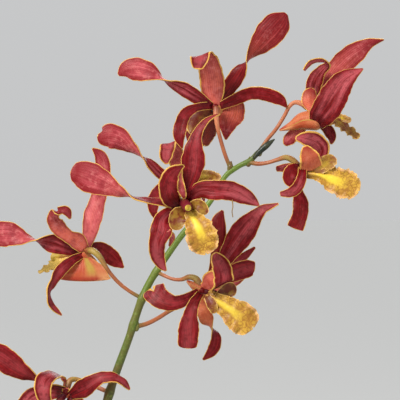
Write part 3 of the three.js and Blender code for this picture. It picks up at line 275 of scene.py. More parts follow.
      "rightLateral": [[69, 396, -1, 4, 0], [78, 405, -4, 8, 0], [84, 417, -6, 9, 0],
        [87, 432, -7, 2, 0]],
    },
    "lip": {
      "midLobe": [[62, 401, -4, 4, 0], [57, 411, -6, 9, 0], [52, 421, -8, 14, 0],
        [48, 432, -8, 13, 0], [46, 440, -7, 6, 0]],
    },
  },
  {
    "name": "bloom_8",
    "heart": [180, 178, 15, 6],
    "pedicel": [[204, 208, 0, 2.3], [200, 200, 6, 2.2], [193, 192, 12, 2.4], [185, 184, 16, 3.2]],
    "column": [[184, 176, 19, 3.4], [188, 175, 25, 3.8], [191, 175, 31, 3.4]],
    "chin": [[181, 181, 15, 5], [186, 189, 18, 4], [189, 197, 20, 1.5]],
    "tepals": {
      "dorsal": [[180, 176, 14, 5, 180], [178, 165, 12, 8, 180], [175.5, 154.5, 8, 8.7, 180],
        [173, 145.7, 4, 8.7, -150], [169, 142.6, 0, 8.3, -70], [166.5, 149.5, -3, 7.5, 0],
        [165.7, 157.4, -3.5, 6.2, 0], [166.5, 163.8, -3, 1.5, 0]],
      "leftPetal": [[178, 179, 14, 4, 0], [163, 175, 12, 5.5, 0], [151.5, 164.5, 10, 5.7, -40],
        [140.5, 154.5, 9, 6, -92], [130, 146, 8, 8, -145], [119.5, 138.5, 8, 11.7, -175],
        [109.5, 135.5, 8, 12.7, -180], [102, 136.5, 8, 8.5, -180], [97, 135, 8, 1.5, -180]],
      "rightPetal": [[182, 177, 16.5, 4, 0], [189, 166, 26, 8, 20], [192, 154, 34, 10, 40],
        [191, 141, 40, 9, 60], [186, 130, 42, 2, 60]],
      "leftLateral": [[176, 181, 13, 4, 0], [163, 188, 9, 7, 0], [154.5, 198, 7, 7, 0],
        [153, 209, 6, 5, 0], [156, 219, 6, 1.5, 0]],
      "rightLateral": [[182, 180, 16.5, 4, 0], [192, 187, 25, 7, 0], [199, 194, 31, 7, 0],
        [203, 203, 35, 1.5, 0]],
    },
    "lip": {
      "midLobe": [[188, 180, 18, 4, 0], [198, 177, 17, 6, 0], [209, 175.5, 14, 6, 0],
        [217, 176.5, 10, 4, 0], [221, 178, 9, 1.5, 0]],
    },
  },
  {
    "name": "bloom_9",
    "heart": [197, 298, 9, 7],
    "pedicel": [[136, 326, 0, 2.5], [147, 323, 2, 2.3], [158, 317.5, 4, 2.2], [170, 310, 6, 2.2],
      [181, 304.5, 8, 2.6], [190, 301, 9, 3.2]],
    "column": [[201, 300, 14, 3.4], [204, 303, 20, 3.8], [206, 307, 26, 3.4]],
    "chin": [[196, 301, 10, 5], [190, 308, 14, 4], [184, 314, 17, 1.5]],
    "tepals": {
      "dorsal": [[198, 296, 8.5, 4, 180], [212, 274, 5, 5, 180], [217, 251, 3, 7, 180],
        [217.5, 233, 1, 8.5, 180], [218.5, 219.5, 1, 7, 180], [222.5, 209.5, 1, 1.2, 180]],
      "rightPetal": [[199, 296.5, 9, 4, 180], [218, 277, 7, 5, 180], [233, 265, 4, 5, 180],
        [244, 256, 4, 4.3, 180], [255, 246.5, 4, 1.2, 180]],
      "leftLateral": [[198, 299, 7.5, 4, 180], [202, 308, 2, 7, 180], [206.5, 318, 1, 7.4, 170],
        [212, 328, 1, 6, 90], [215.9, 338.6, 0, 5.7, 10], [212.2, 350, 0, 5.7, 0],
        [202.5, 359.5, 0, 1.2, 0]],
      "leftPetal": [[195, 298, 10.5, 4, 0], [184, 301.5, 18, 4.5, 20], [172, 302, 26, 5.5, 20],
        [161, 298.5, 32, 6.5, 20], [154, 291, 36, 2, 20]],
      "rightLateral": [[200, 297.5, 12, 4, 180], [214, 291, 17, 5.5, 180],
        [228, 283.5, 21, 6.5, 180], [240, 275, 24, 6, 180], [248, 268, 26, 1.5, 180]],
    },
    "lip": {
      "midLobe": [[203, 300, 14, 4, 180], [213, 301.5, 20, 6.5, 180], [224, 306.5, 26, 9, 180],
        [234, 314, 30, 10.5, 180], [241, 320, 32, 5, 180]],
    },
  },
]

# A bloom further down the stem repeats another one, turned about its heart.
REPEATED_BLOOMS = [
  {
    "name": "bloom_10",
    "like": "bloom_5",
    "heart": [148, 472],
    "turn": 60,
    "pedicel": [[99, 432, 0, 2.4], [112, 443, -2, 2.3], [126, 456, -5, 2.3], [138, 466, -8, 3],
      [144, 470, -9, 3.2]],
  },
]
MOVED_PARTS = ("heart", "column", "chin", "tepals", "lip")

# What single blades have of their own: pink from 0 to 1, which on a tepal also sets its painted
# sheen and painted highlights, gold as the width of the gilt rim, the notch in a broad end, the
# rounding of the end, the waves of the rim, frill as the unevenness of the outline, and tone (a
# tepal: -1 deep red on both faces, 1 the chin's orange; a lip: -1 pale yellow, 1 a side lobe's
# brown, 2 dark brown)
BLADE_LOOKS = {
  "bloom_1 dorsal": {"pink": 0.5, "tone": 0.15, "gold": 2.6},
  "bloom_1 leftPetal": {"pink": 1.0, "notch": 0.1},
  "bloom_1 rightPetal": {"pink": 0.1, "tone": -0.55},
  "bloom_1 rightLateral": {"pink": 0.0},
  "bloom_1 leftLateral": {"pink": 0.1},
  "bloom_1 rightFlare": {"pink": 0.1, "tone": -0.45},
  "bloom_1 midLobe": {"tone": 2},
  "bloom_1 sideLobe": {"tone": 1.5},
  "bloom_2 dorsal": {"pink": 0.9},
  "bloom_2 farPetal": {"pink": 0.45, "tone": -0.3},
  "bloom_2 nearPetal": {"pink": 0.9, "gold": 0.7},
  "bloom_2 chinLobe": {"pink": 0.6, "gold": 1.3},
  "bloom_2 midLobe": {"tone": 0.8},
  "bloom_2 sideLobe": {"tone": 0, "frill": 0.15},
  "bloom_3 dorsal": {"pink": 0.9, "gold": 3.0},
  "bloom_3 dorsalBack": {"pink": 0.1, "tone": 0.6, "gold": 3.0},
  "bloom_3 nearLateral": {"pink": 0.5},
  "bloom_3 farLateral": {"pink": 0.0, "rounding": 0.15},
  "bloom_3 midLobe": {"frill": 0.12, "waves": 3.5},
  "bloom_3 sideLobe": {"tone": 0.7, "frill": 0.12},
  "bloom_4 dorsal": {"pink": 0.15, "gold": 2.4},
  "bloom_4 dorsalCurl": {"pink": 0.6, "gold": 2.4},
  "bloom_4 topPetal": {"pink": 0.3},
  "bloom_4 leftPetal": {"pink": 0.75},
  "bloom_4 rightLateral": {"pink": 0.8},
  "bloom_4 leftLateral": {"pink": 0.6, "gold": 1.3},
  "bloom_4 leftFold": {"pink": 1.0, "gold": 1.3},
  "bloom_5 dorsal": {"pink": 0.5, "tone": 0.4, "gold": 2.6},
  "bloom_5 rightPetal": {"pink": 0.5},
  "bloom_5 leftPetal": {"pink": 0.2, "notch": 0.4},
  "bloom_5 nearLateral": {"pink": 0.3},
  "bloom_5 farLateral": {"pink": 0.3},
  "bloom_5 midLobe": {"tone": 0.3},
  "bloom_6 chinSail": {"tone": 0.8, "rounding": 0.12, "frill": 0.01},
  "bloom_6 dorsal": {"pink": 0.3, "tone": -0.15, "gold": 1.3},
  "bloom_6 topPetal": {"pink": 1.0},
  "bloom_6 leftPetal": {"pink": 0.9},
  "bloom_6 rightLateral": {"pink": 0.1},
  "bloom_6 leftLateral": {"pink": 0.3},
  "bloom_6 midLobe": {"tone": -1},
  "bloom_6 sideLobe": {"tone": 0, "frill": 0.08},
  "bloom_7 dorsal": {"pink": 0.6, "gold": 2.2},
  "bloom_7 leftPetal": {"pink": 0.2},
  "bloom_8 dorsal": {"pink": 0.7, "gold": 2.4},
  "bloom_8 leftPetal": {"pink": 0.9, "notch": 0.4},
  "bloom_8 midLobe": {"tone": 0.6, "frill": 0.15},
  "bloom_9 dorsal": {"pink": 0.2, "tone": -0.7},
  "bloom_9 rightPetal": {"pink": 0.5, "tone": -0.2},
  "bloom_9 leftLateral": {"pink": 0.1, "tone": 0.7},
}

# The heart's ball as a share of its radius, the lip's keels as place across, height and where
# they end along the lobe, and the anther cap as shares of the column's radius
HEART_SHARE = 0.62
KEELS = [(-0.16, 0.0007, 0.62), (0.0, 0.0009, 0.66), (0.16, 0.0007, 0.62)]
ANTHER_REACH = 0.3
ANTHER_SIZE = (0.7, 0.9, 0.7)
PINK_PEDICELS = ("bloom_1_pedicel", "bloom_2_pedicel")

# The fold at the foot of bloom_2's dorsal sepal that shows its under side, and the dry thread
# that hangs from the lower edge of bloom_4's right lateral sepal
DORSAL_FOLD = [[312, 111, -2.5, 3, 180], [309, 102, -2, 7.5, 180], [310, 94, -1, 7.5, 180],
  [313, 88, 0, 3, 180]]
THREAD = [[232, 199.5, -29.6, 0.55], [232.6, 206, -30, 0.5], [231.8, 211, -30, 0.45],
  [232.6, 216.5, -29.6, 0.3]]

# Flat pieces: thickness at the middle and at the rim, the least half width, and how finely they
# are divided
TEPAL_THICKNESS = (0.0008, 0.0004)
LIP_THICKNESS = (0.0009, 0.0004)
LEAF_THICKNESS = (0.0014, 0.0007)
NARROWEST = 0.00016
CREASE_WIDTH = 0.0007
KEEL_WIDTH = 0.0006
BLADE_COLUMNS = 17
ROWS_PER_STATION = 7

# The stem's joints and the canes' rings: how far each swelling reaches along the piece
JOINT_REACH = 0.0024
RING_REACH = 0.0016

# The pot and its bark: a chip's usual size, how far its rings stand out from foot to top, and
# the least and largest radius of a moss cushion
POT_HEIGHT = 0.128
POT_FOOT_RADIUS = 0.049
POT_TOP_RADIUS = 0.067
RIM_RADIUS = 0.072
RIM_HEIGHT = 0.024
POT_WALL = 0.006
POT_FLOOR = 0.008
POT_SIDES = 112
POT_ROUNDING = 0.0018
TURNING_MARKS = 0.0021
DRAIN_RADIUS = 0.005
DRAIN_RING = 0.027
DRAIN_COUNT = 4
BARK_TOP = 0.104
PLUG_GAP = 0.0008
CHIP_COUNT = 260
CHIP_RING = 0.052
CHIP_SIZE = (0.019, 0.012, 0.006)
CHIP_SIDES = 9
CHIP_EDGE = (0.82, 0.98, 1.0, 0.96, 0.8)
MOSS_COUNT = 22
MOSS_RADII = (0.003, 0.0065)

# Canes and leaves. LEAF_PLANE is the leaves' bearing in degrees. LEAF_LENGTH has the length of a
# low leaf in mm, how much longer it can be and how much shorter the top ones are. A cane's own
# numbers are in mm, and its first leaf is a height.
CANE_FOOT = 0.086
CANE_STATIONS = 7
SHEATH_FIT = 1.06
SHEATH_RIM = (0.0002, 0.0003, 0.0008)
LEAF_SPACING = 0.027
LEAF_HALF_WIDTH = 0.012
LEAF_PLANE = 55
LEAF_LENGTH = (92, 20, 26)
ROOT_RADIUS = 0.0017
CANES = [
  {"name": "cane_1", "foot": [-34, 6], "top": [-92, 14, 292], "radius": 6.5, "first_leaf": 205},
  {"name": "cane_2", "foot": [-11, -4], "top": [-16, 2, 424], "radius": 7.5, "first_leaf": 215},
  {"name": "cane_3", "foot": [13, 5], "top": [48, -6, 372], "radius": 7, "first_leaf": 190},
  {"name": "cane_4", "foot": [35, -6], "top": [84, -22, 258], "radius": 5.5, "first_leaf": 150},
]

# The studio: the sky's brightness at the horizon and overhead, the floor's tones near and far
# (the near one darker as painted shade against the lamps' pool of light), and the lamps as name,
# place, size, power and tint
SKY_LOW = 0.57
SKY_HIGH = 0.76
FLOOR_REACH = 60
FLOOR_TONES = ((0.56, 0.56, 0.545, 1), (0.8, 0.8, 0.785, 1))
LAMP_AIM = (0.04, 0.0, 0.5)
LAMPS = [
  ("key", (-1.3, -1.7, 2.1), 1.1, 96, (1.0, 0.96, 0.9)),
  ("fill", (1.9, -1.2, 1.0), 1.4, 10, (0.92, 0.96, 1.0)),
  ("back", (0.6, 2.1, 1.9), 1.4, 22, (1.0, 1.0, 1.0)),
]


# Numbers and curves

def smooth_step(low, high, value):
    x = np.clip((value - low) / (high - low), 0, 1)
    return x * x * (3 - 2 * x)


def random_from(seed):
    """A repeatable draw from 0 to 1, the same one that places the solids' leaves."""
    state = [seed]
    mask = 0xFFFFFFFF

    def draw():
        state[0] = (state[0] + 0x6D2B79F5) & mask
        mixed = ((state[0] ^ (state[0] >> 15)) * (1 | state[0])) & mask
        mixed = ((mixed + ((mixed ^ (mixed >> 7)) * (61 | mixed) & mask)) & mask) ^ mixed
        return (mixed ^ (mixed >> 14)) / (mask + 1)

    return draw


def unit(vectors):
    return vectors / np.maximum(np.linalg.norm(vectors, axis=-1, keepdims=True), 1e-12)


def lengths(points):
    """The length of the line up to each of its points."""
    return np.concatenate([[0], np.cumsum(np.linalg.norm(np.diff(points, axis=0), axis=1))])


def circle(count):
    return 2 * np.pi * np.arange(count) / count


def lathe(outline, sides):
    """Rings about the Z axis, one for each (radius, height) of an outline."""
    outline = np.asarray(outline)[:, None, :]
    angle = circle(sides)
    return np.stack([outline[..., 0] * np.cos(angle), outline[..., 0] * np.sin(angle),
                     outline[..., 1] + 0 * angle], -1)


def on_sheet(rows):
    """Stations of the sheet as rows of x, y, z and radius or half width, in metres."""
    across, down, depth, wide = np.array(rows, float)[:, :4].T
    depth = depth / 1000
    spread = SHEET_UNIT * (SHEET_DISTANCE + depth) / SHEET_DISTANCE
    return np.column_stack([
        SPRAY_X + (across - SHEET_MIDDLE) * spread,
        depth,
        SPRAY_Z + (SHEET_MIDDLE - down) * spread,
        wide * SHEET_UNIT,
    ])


def along(rows, t):
    """Rows joined by one smooth curve, at each t from 0 to len(rows) - 1."""
    held = np.vstack([2 * rows[0] - rows[1], rows, 2 * rows[-1] - rows[-2]])
    i = np.clip(np.floor(t).astype(int), 0, len(rows) - 2)
    f = (t - i)[:, None]
    a, b, c, d = (held[i + k] for k in range(4))
    return b + 0.5 * f * (c - a + f * (2 * a - 5 * b + 4 * c - d + f * (3 * (b - c) + d - a)))


def headings(rows, t):
    """The unit direction of the curve at each t."""
    step = 0.02
    ahead = along(rows[:, :3], np.minimum(t + step, len(rows) - 1))
    return unit(ahead - along(rows[:, :3], np.maximum(t - step, 0)))


def blade_rows(blade):
    """A blade's stations as rows of x, y, z, half width and the direction across it."""
    rows = on_sheet(blade)
    heading = headings(rows, np.arange(len(rows), dtype=float))
    flat = unit(np.cross(heading, [0.0, -1.0, 0.0]))
    facing = np.cross(flat, heading)
    angle = np.radians(np.array(blade)[:, 4:])
    return np.hstack([rows, flat * np.cos(angle) + facing * np.sin(angle)])


# Meshes

class Piece:
    """One mesh collected from closed surfaces, with two vectors kept on its points: coord holds
    across (-1 to 1), run (0 to 1 along the piece) and a seed or a tepal's pink, which also sets
    its painted sheen, and look holds side (1 on the upper face), the distance from the rim in mm,
    and kind or tone."""

    def __init__(self, name):
        self.name = name
        self.points = []
        self.faces = []
        self.coord = []
        self.look = []
        self.count = 0

    def add_rings(self, rings, coord=(0, 0, 0), look=(0, 5, 0), flat=False):
        """Rings of points joined into a closed surface. The first and last ring are closed
        across where the rings are flat, and by a fan about the middle where they are round."""
        count, around = rings.shape[:2]
        points = rings.reshape(-1, 3)
        coord = np.broadcast_to(coord, rings.shape).reshape(-1, 3)
        look = np.broadcast_to(look, rings.shape).reshape(-1, 3)
        i, j = np.meshgrid(np.arange(count - 1), np.arange(around), indexing="ij")
        here = i * around + j
        beside = i * around + (j + 1) % around
        faces = np.stack([here, beside, beside + around, here + around], -1)
        faces = faces.reshape(-1, 4).tolist()
        last = (count - 1) * around
        if flat:
            for k in range(around // 2 - 1):
                quad = [k, around - 1 - k, around - 2 - k, k + 1]
                faces += [quad, [last + corner for corner in reversed(quad)]]
        else:
            for start, order in ((0, 1), (last, -1)):
                middle = len(points)
                ring = slice(start, start + around)
                points, coord, look = (
                    np.vstack([values, values[ring].mean(0)]) for values in (points, coord, look))
                for k in range(around):
                    faces.append([middle, *[start + (k + 1) % around, start + k][::order]])
        self.points.append(points)
        self.coord.append(coord)
        self.look.append(look)
        self.faces += [[corner + self.count for corner in face] for face in faces]
        self.count += len(points)

    def mesh(self, material):
        """The surfaces as an object of the scene."""
        mesh = bpy.data.meshes.new(self.name)
        mesh.from_pydata(np.vstack(self.points).tolist(), [], self.faces)
        for name, values in (("coord", self.coord), ("look", self.look)):
            attribute = mesh.attributes.new(name, "FLOAT_VECTOR", "POINT")
            attribute.data.foreach_set("vector", np.vstack(values).astype(np.float32).ravel())
        mesh.shade_smooth()
        mesh.materials.append(material)
        return linked(self.name, mesh)

    def build(self, material, nodes=()):
        """The object on its body and in the place of the nodes named."""
        made = self.mesh(material)
        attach(made, "root")
        if nodes:
            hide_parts(*nodes)
        return made


def linked(name, data):
    """A new object of the scene."""
    made = bpy.data.objects.new(name, data)
    bpy.context.scene.collection.objects.link(made)
    return made


def add_blade(piece, rows, seed, thickness=TEPAL_THICKNESS, cup=0.15, wave=0.0004, waves=2.5,
              keels=(), crease=0.00012, rolled=0.0, rounding=0.75, tone=0.0, pink=None, gold=1.0,
              notch=0.0, frill=0.035):
    """A thin leaf, tepal or lobe along rows of x, y, z, half width and direction across:
    cupped, waved at its rim, rounded where it ends broad, and closed by a rim."""
    draw = np.random.default_rng(seed)
    last = len(rows) - 1
    t = last * (1 - (1 - np.linspace(0, 1, ROWS_PER_STATION * last + 1)) ** 1.3)
    row = along(rows, t)
    middle = row[:, :3]
    heading = headings(rows, t)
    across = row[:, 4:7]
    across = unit(across - heading * (across * heading).sum(1, keepdims=True))
    normal = np.cross(across, heading)
    run = lengths(middle)
    left = (run[-1] - run)[:, None]
    s = (run / run[-1])[:, None]
    # The outline: its end is rounded, its sides are uneven and a notch can part a broad end
    end = row[-1, 3]
    zone = max(rounding * end, 1e-4)
    half = np.maximum(row[:, 3:4], NARROWEST)
    half = half * np.sqrt(np.clip(1 - (1 - np.minimum(left / zone, 1)) ** 2, 0.02, 1))
    u = np.sin(np.linspace(-np.pi / 2, np.pi / 2, BLADE_COLUMNS))[None, :]
    body = np.sin(np.pi * np.clip(s, 0.02, 0.98)) ** 0.5
    outline = 2 * np.pi * (1.7 * waves * s + draw.random())
    ragged = np.sin(outline) * np.sin(0.37 * outline + 1) + 0.6 * np.sin(2.3 * outline + 2 * u)
    flutter = 1 + frill * body * ragged
    # The surface: cupped, waved and rolled back at its rims, and creased along its middle
    phase = np.where(u < 0, draw.random(), draw.random())
    swing = np.sin(2 * np.pi * (waves * s + phase))
    swing = swing + 0.4 * np.sin(2 * np.pi * (2.3 * waves * s + 2 * phase))
    lift = cup * half * (u * u - 0.5) + wave * body * np.abs(u) ** 2.5 * swing
    lift = lift - rolled * half * body * np.abs(u) ** 5
    lift = lift - crease * body * np.exp(-((u * half / CREASE_WIDTH) ** 2))
    nick = notch * end * (1 - np.abs(u)) ** 1.5 * smooth_step(1.6 * end, 0, left)
    place = middle[:, None, :] + across[:, None, :] * (u * half * flutter)[..., None]
    place = place - heading[:, None, :] * nick[..., None]
    thick = thickness[0] + (thickness[1] - thickness[0]) * np.abs(u) ** 3
    thick = np.minimum(thick, thickness[1] + 0.4 * half)
    ridge = 0 * lift
    for across_at, height, stop in keels:
        fade = 1 - smooth_step(stop - 0.15, stop, s)
        ripple = 0.75 + 0.25 * np.sin(60 * s + 9 * across_at)
        beside = (u - across_at) * half / KEEL_WIDTH
        ridge = ridge + height * fade * ripple * np.exp(-(beside ** 2))
    front = place + normal[:, None, :] * (lift + thick / 2 + ridge)[..., None]
    back = place + normal[:, None, :] * (lift - thick / 2)[..., None]
    rings = np.concatenate([front, back[:, ::-1]], axis=1)
    around = np.concatenate([u[0], u[0][::-1]])
    coord = np.empty(rings.shape)
    coord[..., 0] = around
    coord[..., 1] = s
    coord[..., 2] = draw.random() if pink is None else pink
    look = np.empty(rings.shape)
    look[..., 0] = np.repeat([1, 0], BLADE_COLUMNS)
    look[..., 1] = np.minimum((1 - np.abs(around)) * half, left) * 1000 / gold
    look[..., 2] = tone
    piece.add_rings(rings, coord, look, flat=True)


def add_tube(piece, rows, seed=0, sides=16, per_station=8, kind=0.0, ribs=None, swelling=None):
    """A round piece along rows of x, y, z and radius, with rounded ends. ribs and swelling give
    the radius's share at each (run, angle) and at each length."""
    t = np.linspace(0, len(rows) - 1, per_station * (len(rows) - 1) + 1)
    row = along(rows, t)
    heading = headings(rows, t)
    run = lengths(row[:, :3])
    s = run / run[-1]
    radius = np.maximum(row[:, 3], 0.0002)
    if swelling is not None:
        radius = radius * swelling(run)
    side = [np.array([0.0, -1.0, 0.3])]
    for way in heading:
        side.append(unit(side[-1] - way * side[-1].dot(way)))
    side = np.array(side[1:])
    other = np.cross(heading, side)
    angle = circle(sides)
    share = np.ones((len(t), sides)) if ribs is None else ribs(s[:, None], angle[None, :])
    reach = radius[:, None] * share
    ends = [(math.sin(lean), math.cos(lean)) for lean in np.radians([80, 60, 35])]
    cap = 0.8 * radius[:, None] * heading
    loops = [(row[0, :3] - a * cap[0], b * reach[0], 0) for a, b in ends]
    loops += [(row[k, :3], reach[k], k) for k in range(len(t))]
    loops += [(row[-1, :3] + a * cap[-1], b * reach[-1], -1) for a, b in reversed(ends)]
    x, y = np.cos(angle)[:, None], np.sin(angle)[:, None]
    rings = np.array([
        middle + wide[:, None] * (x * side[k] + y * other[k]) for middle, wide, k in loops
    ])
    coord = np.empty(rings.shape)
    coord[..., 0] = angle / np.pi - 1
    coord[..., 1] = s[[k for _, _, k in loops]][:, None]
    coord[..., 2] = np.random.default_rng(seed).random()
    piece.add_rings(rings, coord, (0, 5, kind))


def add_ball(piece, middle, radii, kind=0.0, sides=20):
    """An egg-shaped body with its radii along x, y and z."""
    lean = np.radians(np.linspace(-84, 84, 11))
    rings = lathe(np.column_stack([np.cos(lean), np.sin(lean)]), sides) * radii + middle
    coord = np.zeros(rings.shape)
    coord[..., 0] = circle(sides) / np.pi - 1
    coord[..., 1] = np.linspace(0, 1, len(lean))[:, None]
    piece.add_rings(rings, coord, (0, 5, kind))


# Materials

def srgb(*screen):
    """A screen colour of 0 to 255 as a linear one."""
    share = [v / 255 for v in screen]
    return (*(v / 12.92 if v <= 0.04045 else ((v + 0.055) / 1.055) ** 2.4 for v in share), 1.0)


class Nodes:
    """The nodes of a material or a world, put together by small calls that return sockets."""

    def __init__(self, block, shader, **values):
        block.use_nodes = True
        self.block = block
        self.tree = block.node_tree
        self.shader = self.tree.nodes[shader].inputs
        for key, value in values.items():
            self.shader[key.replace("_", " ")].default_value = value

    def put(self, socket, value):
        if isinstance(value, bpy.types.NodeSocket):
            self.tree.links.new(value, socket)
        else:
            socket.default_value = value

    def node(self, kind, inputs=(), **settings):
        """The outputs of a new node whose inputs are given as (name or number, value)."""
        made = self.tree.nodes.new("ShaderNode" + kind)
        for key, value in settings.items():
            setattr(made, key, value)
        for key, value in dict(inputs).items():
            self.put(made.inputs[key], value)
        return made.outputs

    def math(self, operation, *values):
        return self.node("Math", enumerate(values), operation=operation)[0]

    def plus(self, a, b):
        return self.math("ADD", a, b)

    def times(self, first, *others):
        for value in others:
            first = self.math("MULTIPLY", first, value)
        return first

    def vector(self, *values):
        return self.node("CombineXYZ", enumerate(values))[0]

    def ramp(self, value, low, high, to_low=0.0, to_high=1.0):
        """value from low to high as a smooth step from to_low to to_high."""
        inputs = {"Value": value, "From Min": low, "From Max": high, "To Min": to_low,
                  "To Max": to_high}
        return self.node("MapRange", inputs, interpolation_type="SMOOTHSTEP")["Result"]

    def noise(self, vector, scale, detail=3.0, roughness=0.55, output="Fac"):
        inputs = {"Vector": vector, "Scale": scale, "Detail": detail, "Roughness": roughness}
        return self.node("TexNoise", inputs)[output]

    def mix(self, share, a, b):
        """Two colours mixed, each a socket or the (red, green, blue) of a screen colour."""
        a, b = (srgb(*v) if isinstance(v, tuple) and len(v) == 3 else v for v in (a, b))
        return self.node("Mix", {0: share, 6: a, 7: b}, data_type="RGBA")[2]


class Skin(Nodes):
    """A material with a piece's marks at hand, whose colour, body, is laid on coat by coat."""

    def __init__(self, name, roughness, **values):
        block = bpy.data.materials.new(name)
        super().__init__(block, "Principled BSDF", Roughness=roughness, **values)
        self.across, self.run, self.seed = self.marks("coord")
        self.side, self.rim, self.kind = self.marks("look")
        self.place = self.node("TexCoord")["Object"]
        self.body = None

    def marks(self, name):
        """The three numbers of a vector that a piece keeps on its points."""
        vector = self.node("Attribute", attribute_name=name)["Vector"]
        return self.node("SeparateXYZ", {0: vector})

    def lay(self, share, colour):
        self.body = self.mix(share, self.body, colour)

    def veins(self, count, sharp):
        """Thin lines that run along a blade, as a height from 0 to 1."""
        drift = self.times(self.noise(self.place, 60, 2), 0.12)
        wave = self.math("SINE", self.times(self.plus(self.across, drift), math.pi * count))
        return self.math("POWER", self.math("ABSOLUTE", wave), sharp)

    def done(self, height, strength, distance, roughness=None):
        """The finished material, with a height as its bump."""
        self.put(self.shader["Base Color"], self.body)
        if roughness is not None:
            self.put(self.shader["Roughness"], roughness)
        inputs = {"Strength": strength, "Distance": distance, "Height": height}
        self.put(self.shader["Normal"], self.node("Bump", inputs)[0])
        return self.block


def tepal_material():
    m = Skin("tepal_skin", 0.4, Specular_IOR_Level=0.13)
    across, run, pink, tone = m.across, m.run, m.seed, m.kind
    wide = m.math("ABSOLUTE", across)
    cloud = m.noise(m.place, 95, 4)
    fine = m.noise(m.place, 1100, 2)
    streaks = m.noise(m.vector(m.times(across, 3.2), m.times(run, 1.1), pink), 2.2, 4, 0.6)
    soft = m.noise(m.vector(m.times(across, 1.2), run, pink), 1.6, 2)
    veins = m.veins(6, 9.0)
    speck = m.noise(m.place, 420, 3, 0.6)
    # The upper face: crimson with a painted pink sheen as its highlight
    m.body = m.mix(m.ramp(run, 0.0, 0.45), (60, 2, 6), (96, 5, 9))
    m.lay(m.ramp(streaks, 0.42, 0.7, 0, 0.75), (136, 14, 19))
    m.lay(m.ramp(cloud, 0.46, 0.66, 0, 0.5), (90, 16, 9))
    # Painted highlight: a pink sheen across the middle of the face, as strong as the tepal's pink
    painted_sheen = m.ramp(m.plus(soft, m.times(pink, 0.12)), 0.42, 0.66)
    m.lay(m.times(painted_sheen, m.ramp(wide, 0.9, 0.3), pink, m.ramp(run, 0.05, 0.35, 0, 0.9)),
          (178, 82, 88))
    m.lay(m.ramp(speck, 0.5, 0.68, 0, 0.5), (76, 2, 8))
    m.lay(m.ramp(speck, 0.5, 0.32, 0, 0.3), (158, 44, 56))
    m.lay(m.times(veins, 0.3), (60, 3, 8))
    front = m.body
    # The under face: salmon at its foot, and speckled, darker at its rim and end
    foot = m.mix(pink, (212, 104, 74), (192, 92, 90))
    m.body = m.mix(m.ramp(run, 0.25, 0.85), foot, (126, 26, 32))
    # A pink flush in the middle of the face, partly its own pink tone and partly a painted
    # highlight
    m.lay(m.times(pink, m.ramp(soft, 0.34, 0.6, 0.15, 1), m.ramp(wide, 1.0, 0.4, 0.3, 1),
                  m.ramp(run, 0.0, 0.3, 0.3, 1), m.ramp(streaks, 0.35, 0.6, 0.5, 1)),
          (186, 82, 90))
    m.lay(m.ramp(cloud, 0.45, 0.68, 0, 0.7), (116, 26, 34))
    m.lay(m.ramp(speck, 0.5, 0.68, 0, 0.4), (124, 30, 40))
    m.lay(m.ramp(speck, 0.5, 0.32, 0, 0.4), (206, 122, 118))
    # Pale streaks: painted highlights
    m.lay(m.ramp(streaks, 0.5, 0.75, 0, 0.4), (202, 118, 116))
    m.lay(m.times(veins, 0.3), (116, 20, 28))
    m.lay(m.math("MAXIMUM", m.ramp(wide, 0.5, 1.0, 0, 0.65), m.ramp(run, 0.74, 0.98, 0, 0.8)),
          (116, 18, 22))
    m.body = m.mix(m.side, m.body, front)
    # Tones below 0: deep red on both faces
    deep = m.mix(m.ramp(streaks, 0.4, 0.7), (82, 7, 10), (132, 26, 27))
    m.lay(m.ramp(tone, 0, -1), m.mix(m.times(veins, 0.4), deep, (54, 3, 7)))
    # Tones above 0: the chin's orange under face, with a gleam and a pale corner on a sail
    skin = m.body
    sail = m.ramp(tone, 0.72, 0.78)
    m.body = m.mix(m.ramp(cloud, 0.4, 0.65), (180, 108, 70), (160, 66, 38))
    m.lay(m.ramp(streaks, 0.45, 0.65, 0, 0.5), (150, 60, 36))
    beside = m.math("ABSOLUTE", m.math("SUBTRACT", across, 0.3))
    m.lay(m.times(m.ramp(beside, 0.34, 0.06, 0, 0.9), m.ramp(run, 0.92, 0.55), sail),
          (158, 138, 58))
    m.lay(m.ramp(run, 0.74, 0.92, 0, 0.75), (138, 40, 26))
    m.lay(m.times(m.ramp(across, 0.45, 0.8, 0, 0.8), m.ramp(run, 0.6, 0.85), sail),
          (206, 148, 98))
    under = m.math("SUBTRACT", 1, m.side)
    m.body = m.mix(m.times(m.ramp(tone, 0, 1), under), skin, m.body)
    # The gilt rim, and tone 2 for what is dry
    width = m.plus(0.1, m.times(m.noise(m.place, 240, 2), 0.3))
    m.lay(m.ramp(m.math("DIVIDE", m.rim, width), 1.25, 0.5, 0, 0.85),
          m.mix(fine, (180, 122, 36), (232, 194, 104)))
    m.lay(m.ramp(tone, 1.2, 1.8), (132, 104, 62))
    height = m.plus(m.times(veins, -0.5), m.times(fine, 0.5))
    height = m.plus(height, m.times(streaks, 0.8))
    return m.done(height, 0.25, 0.0003, m.ramp(fine, 0.3, 0.7, 0.36, 0.5))


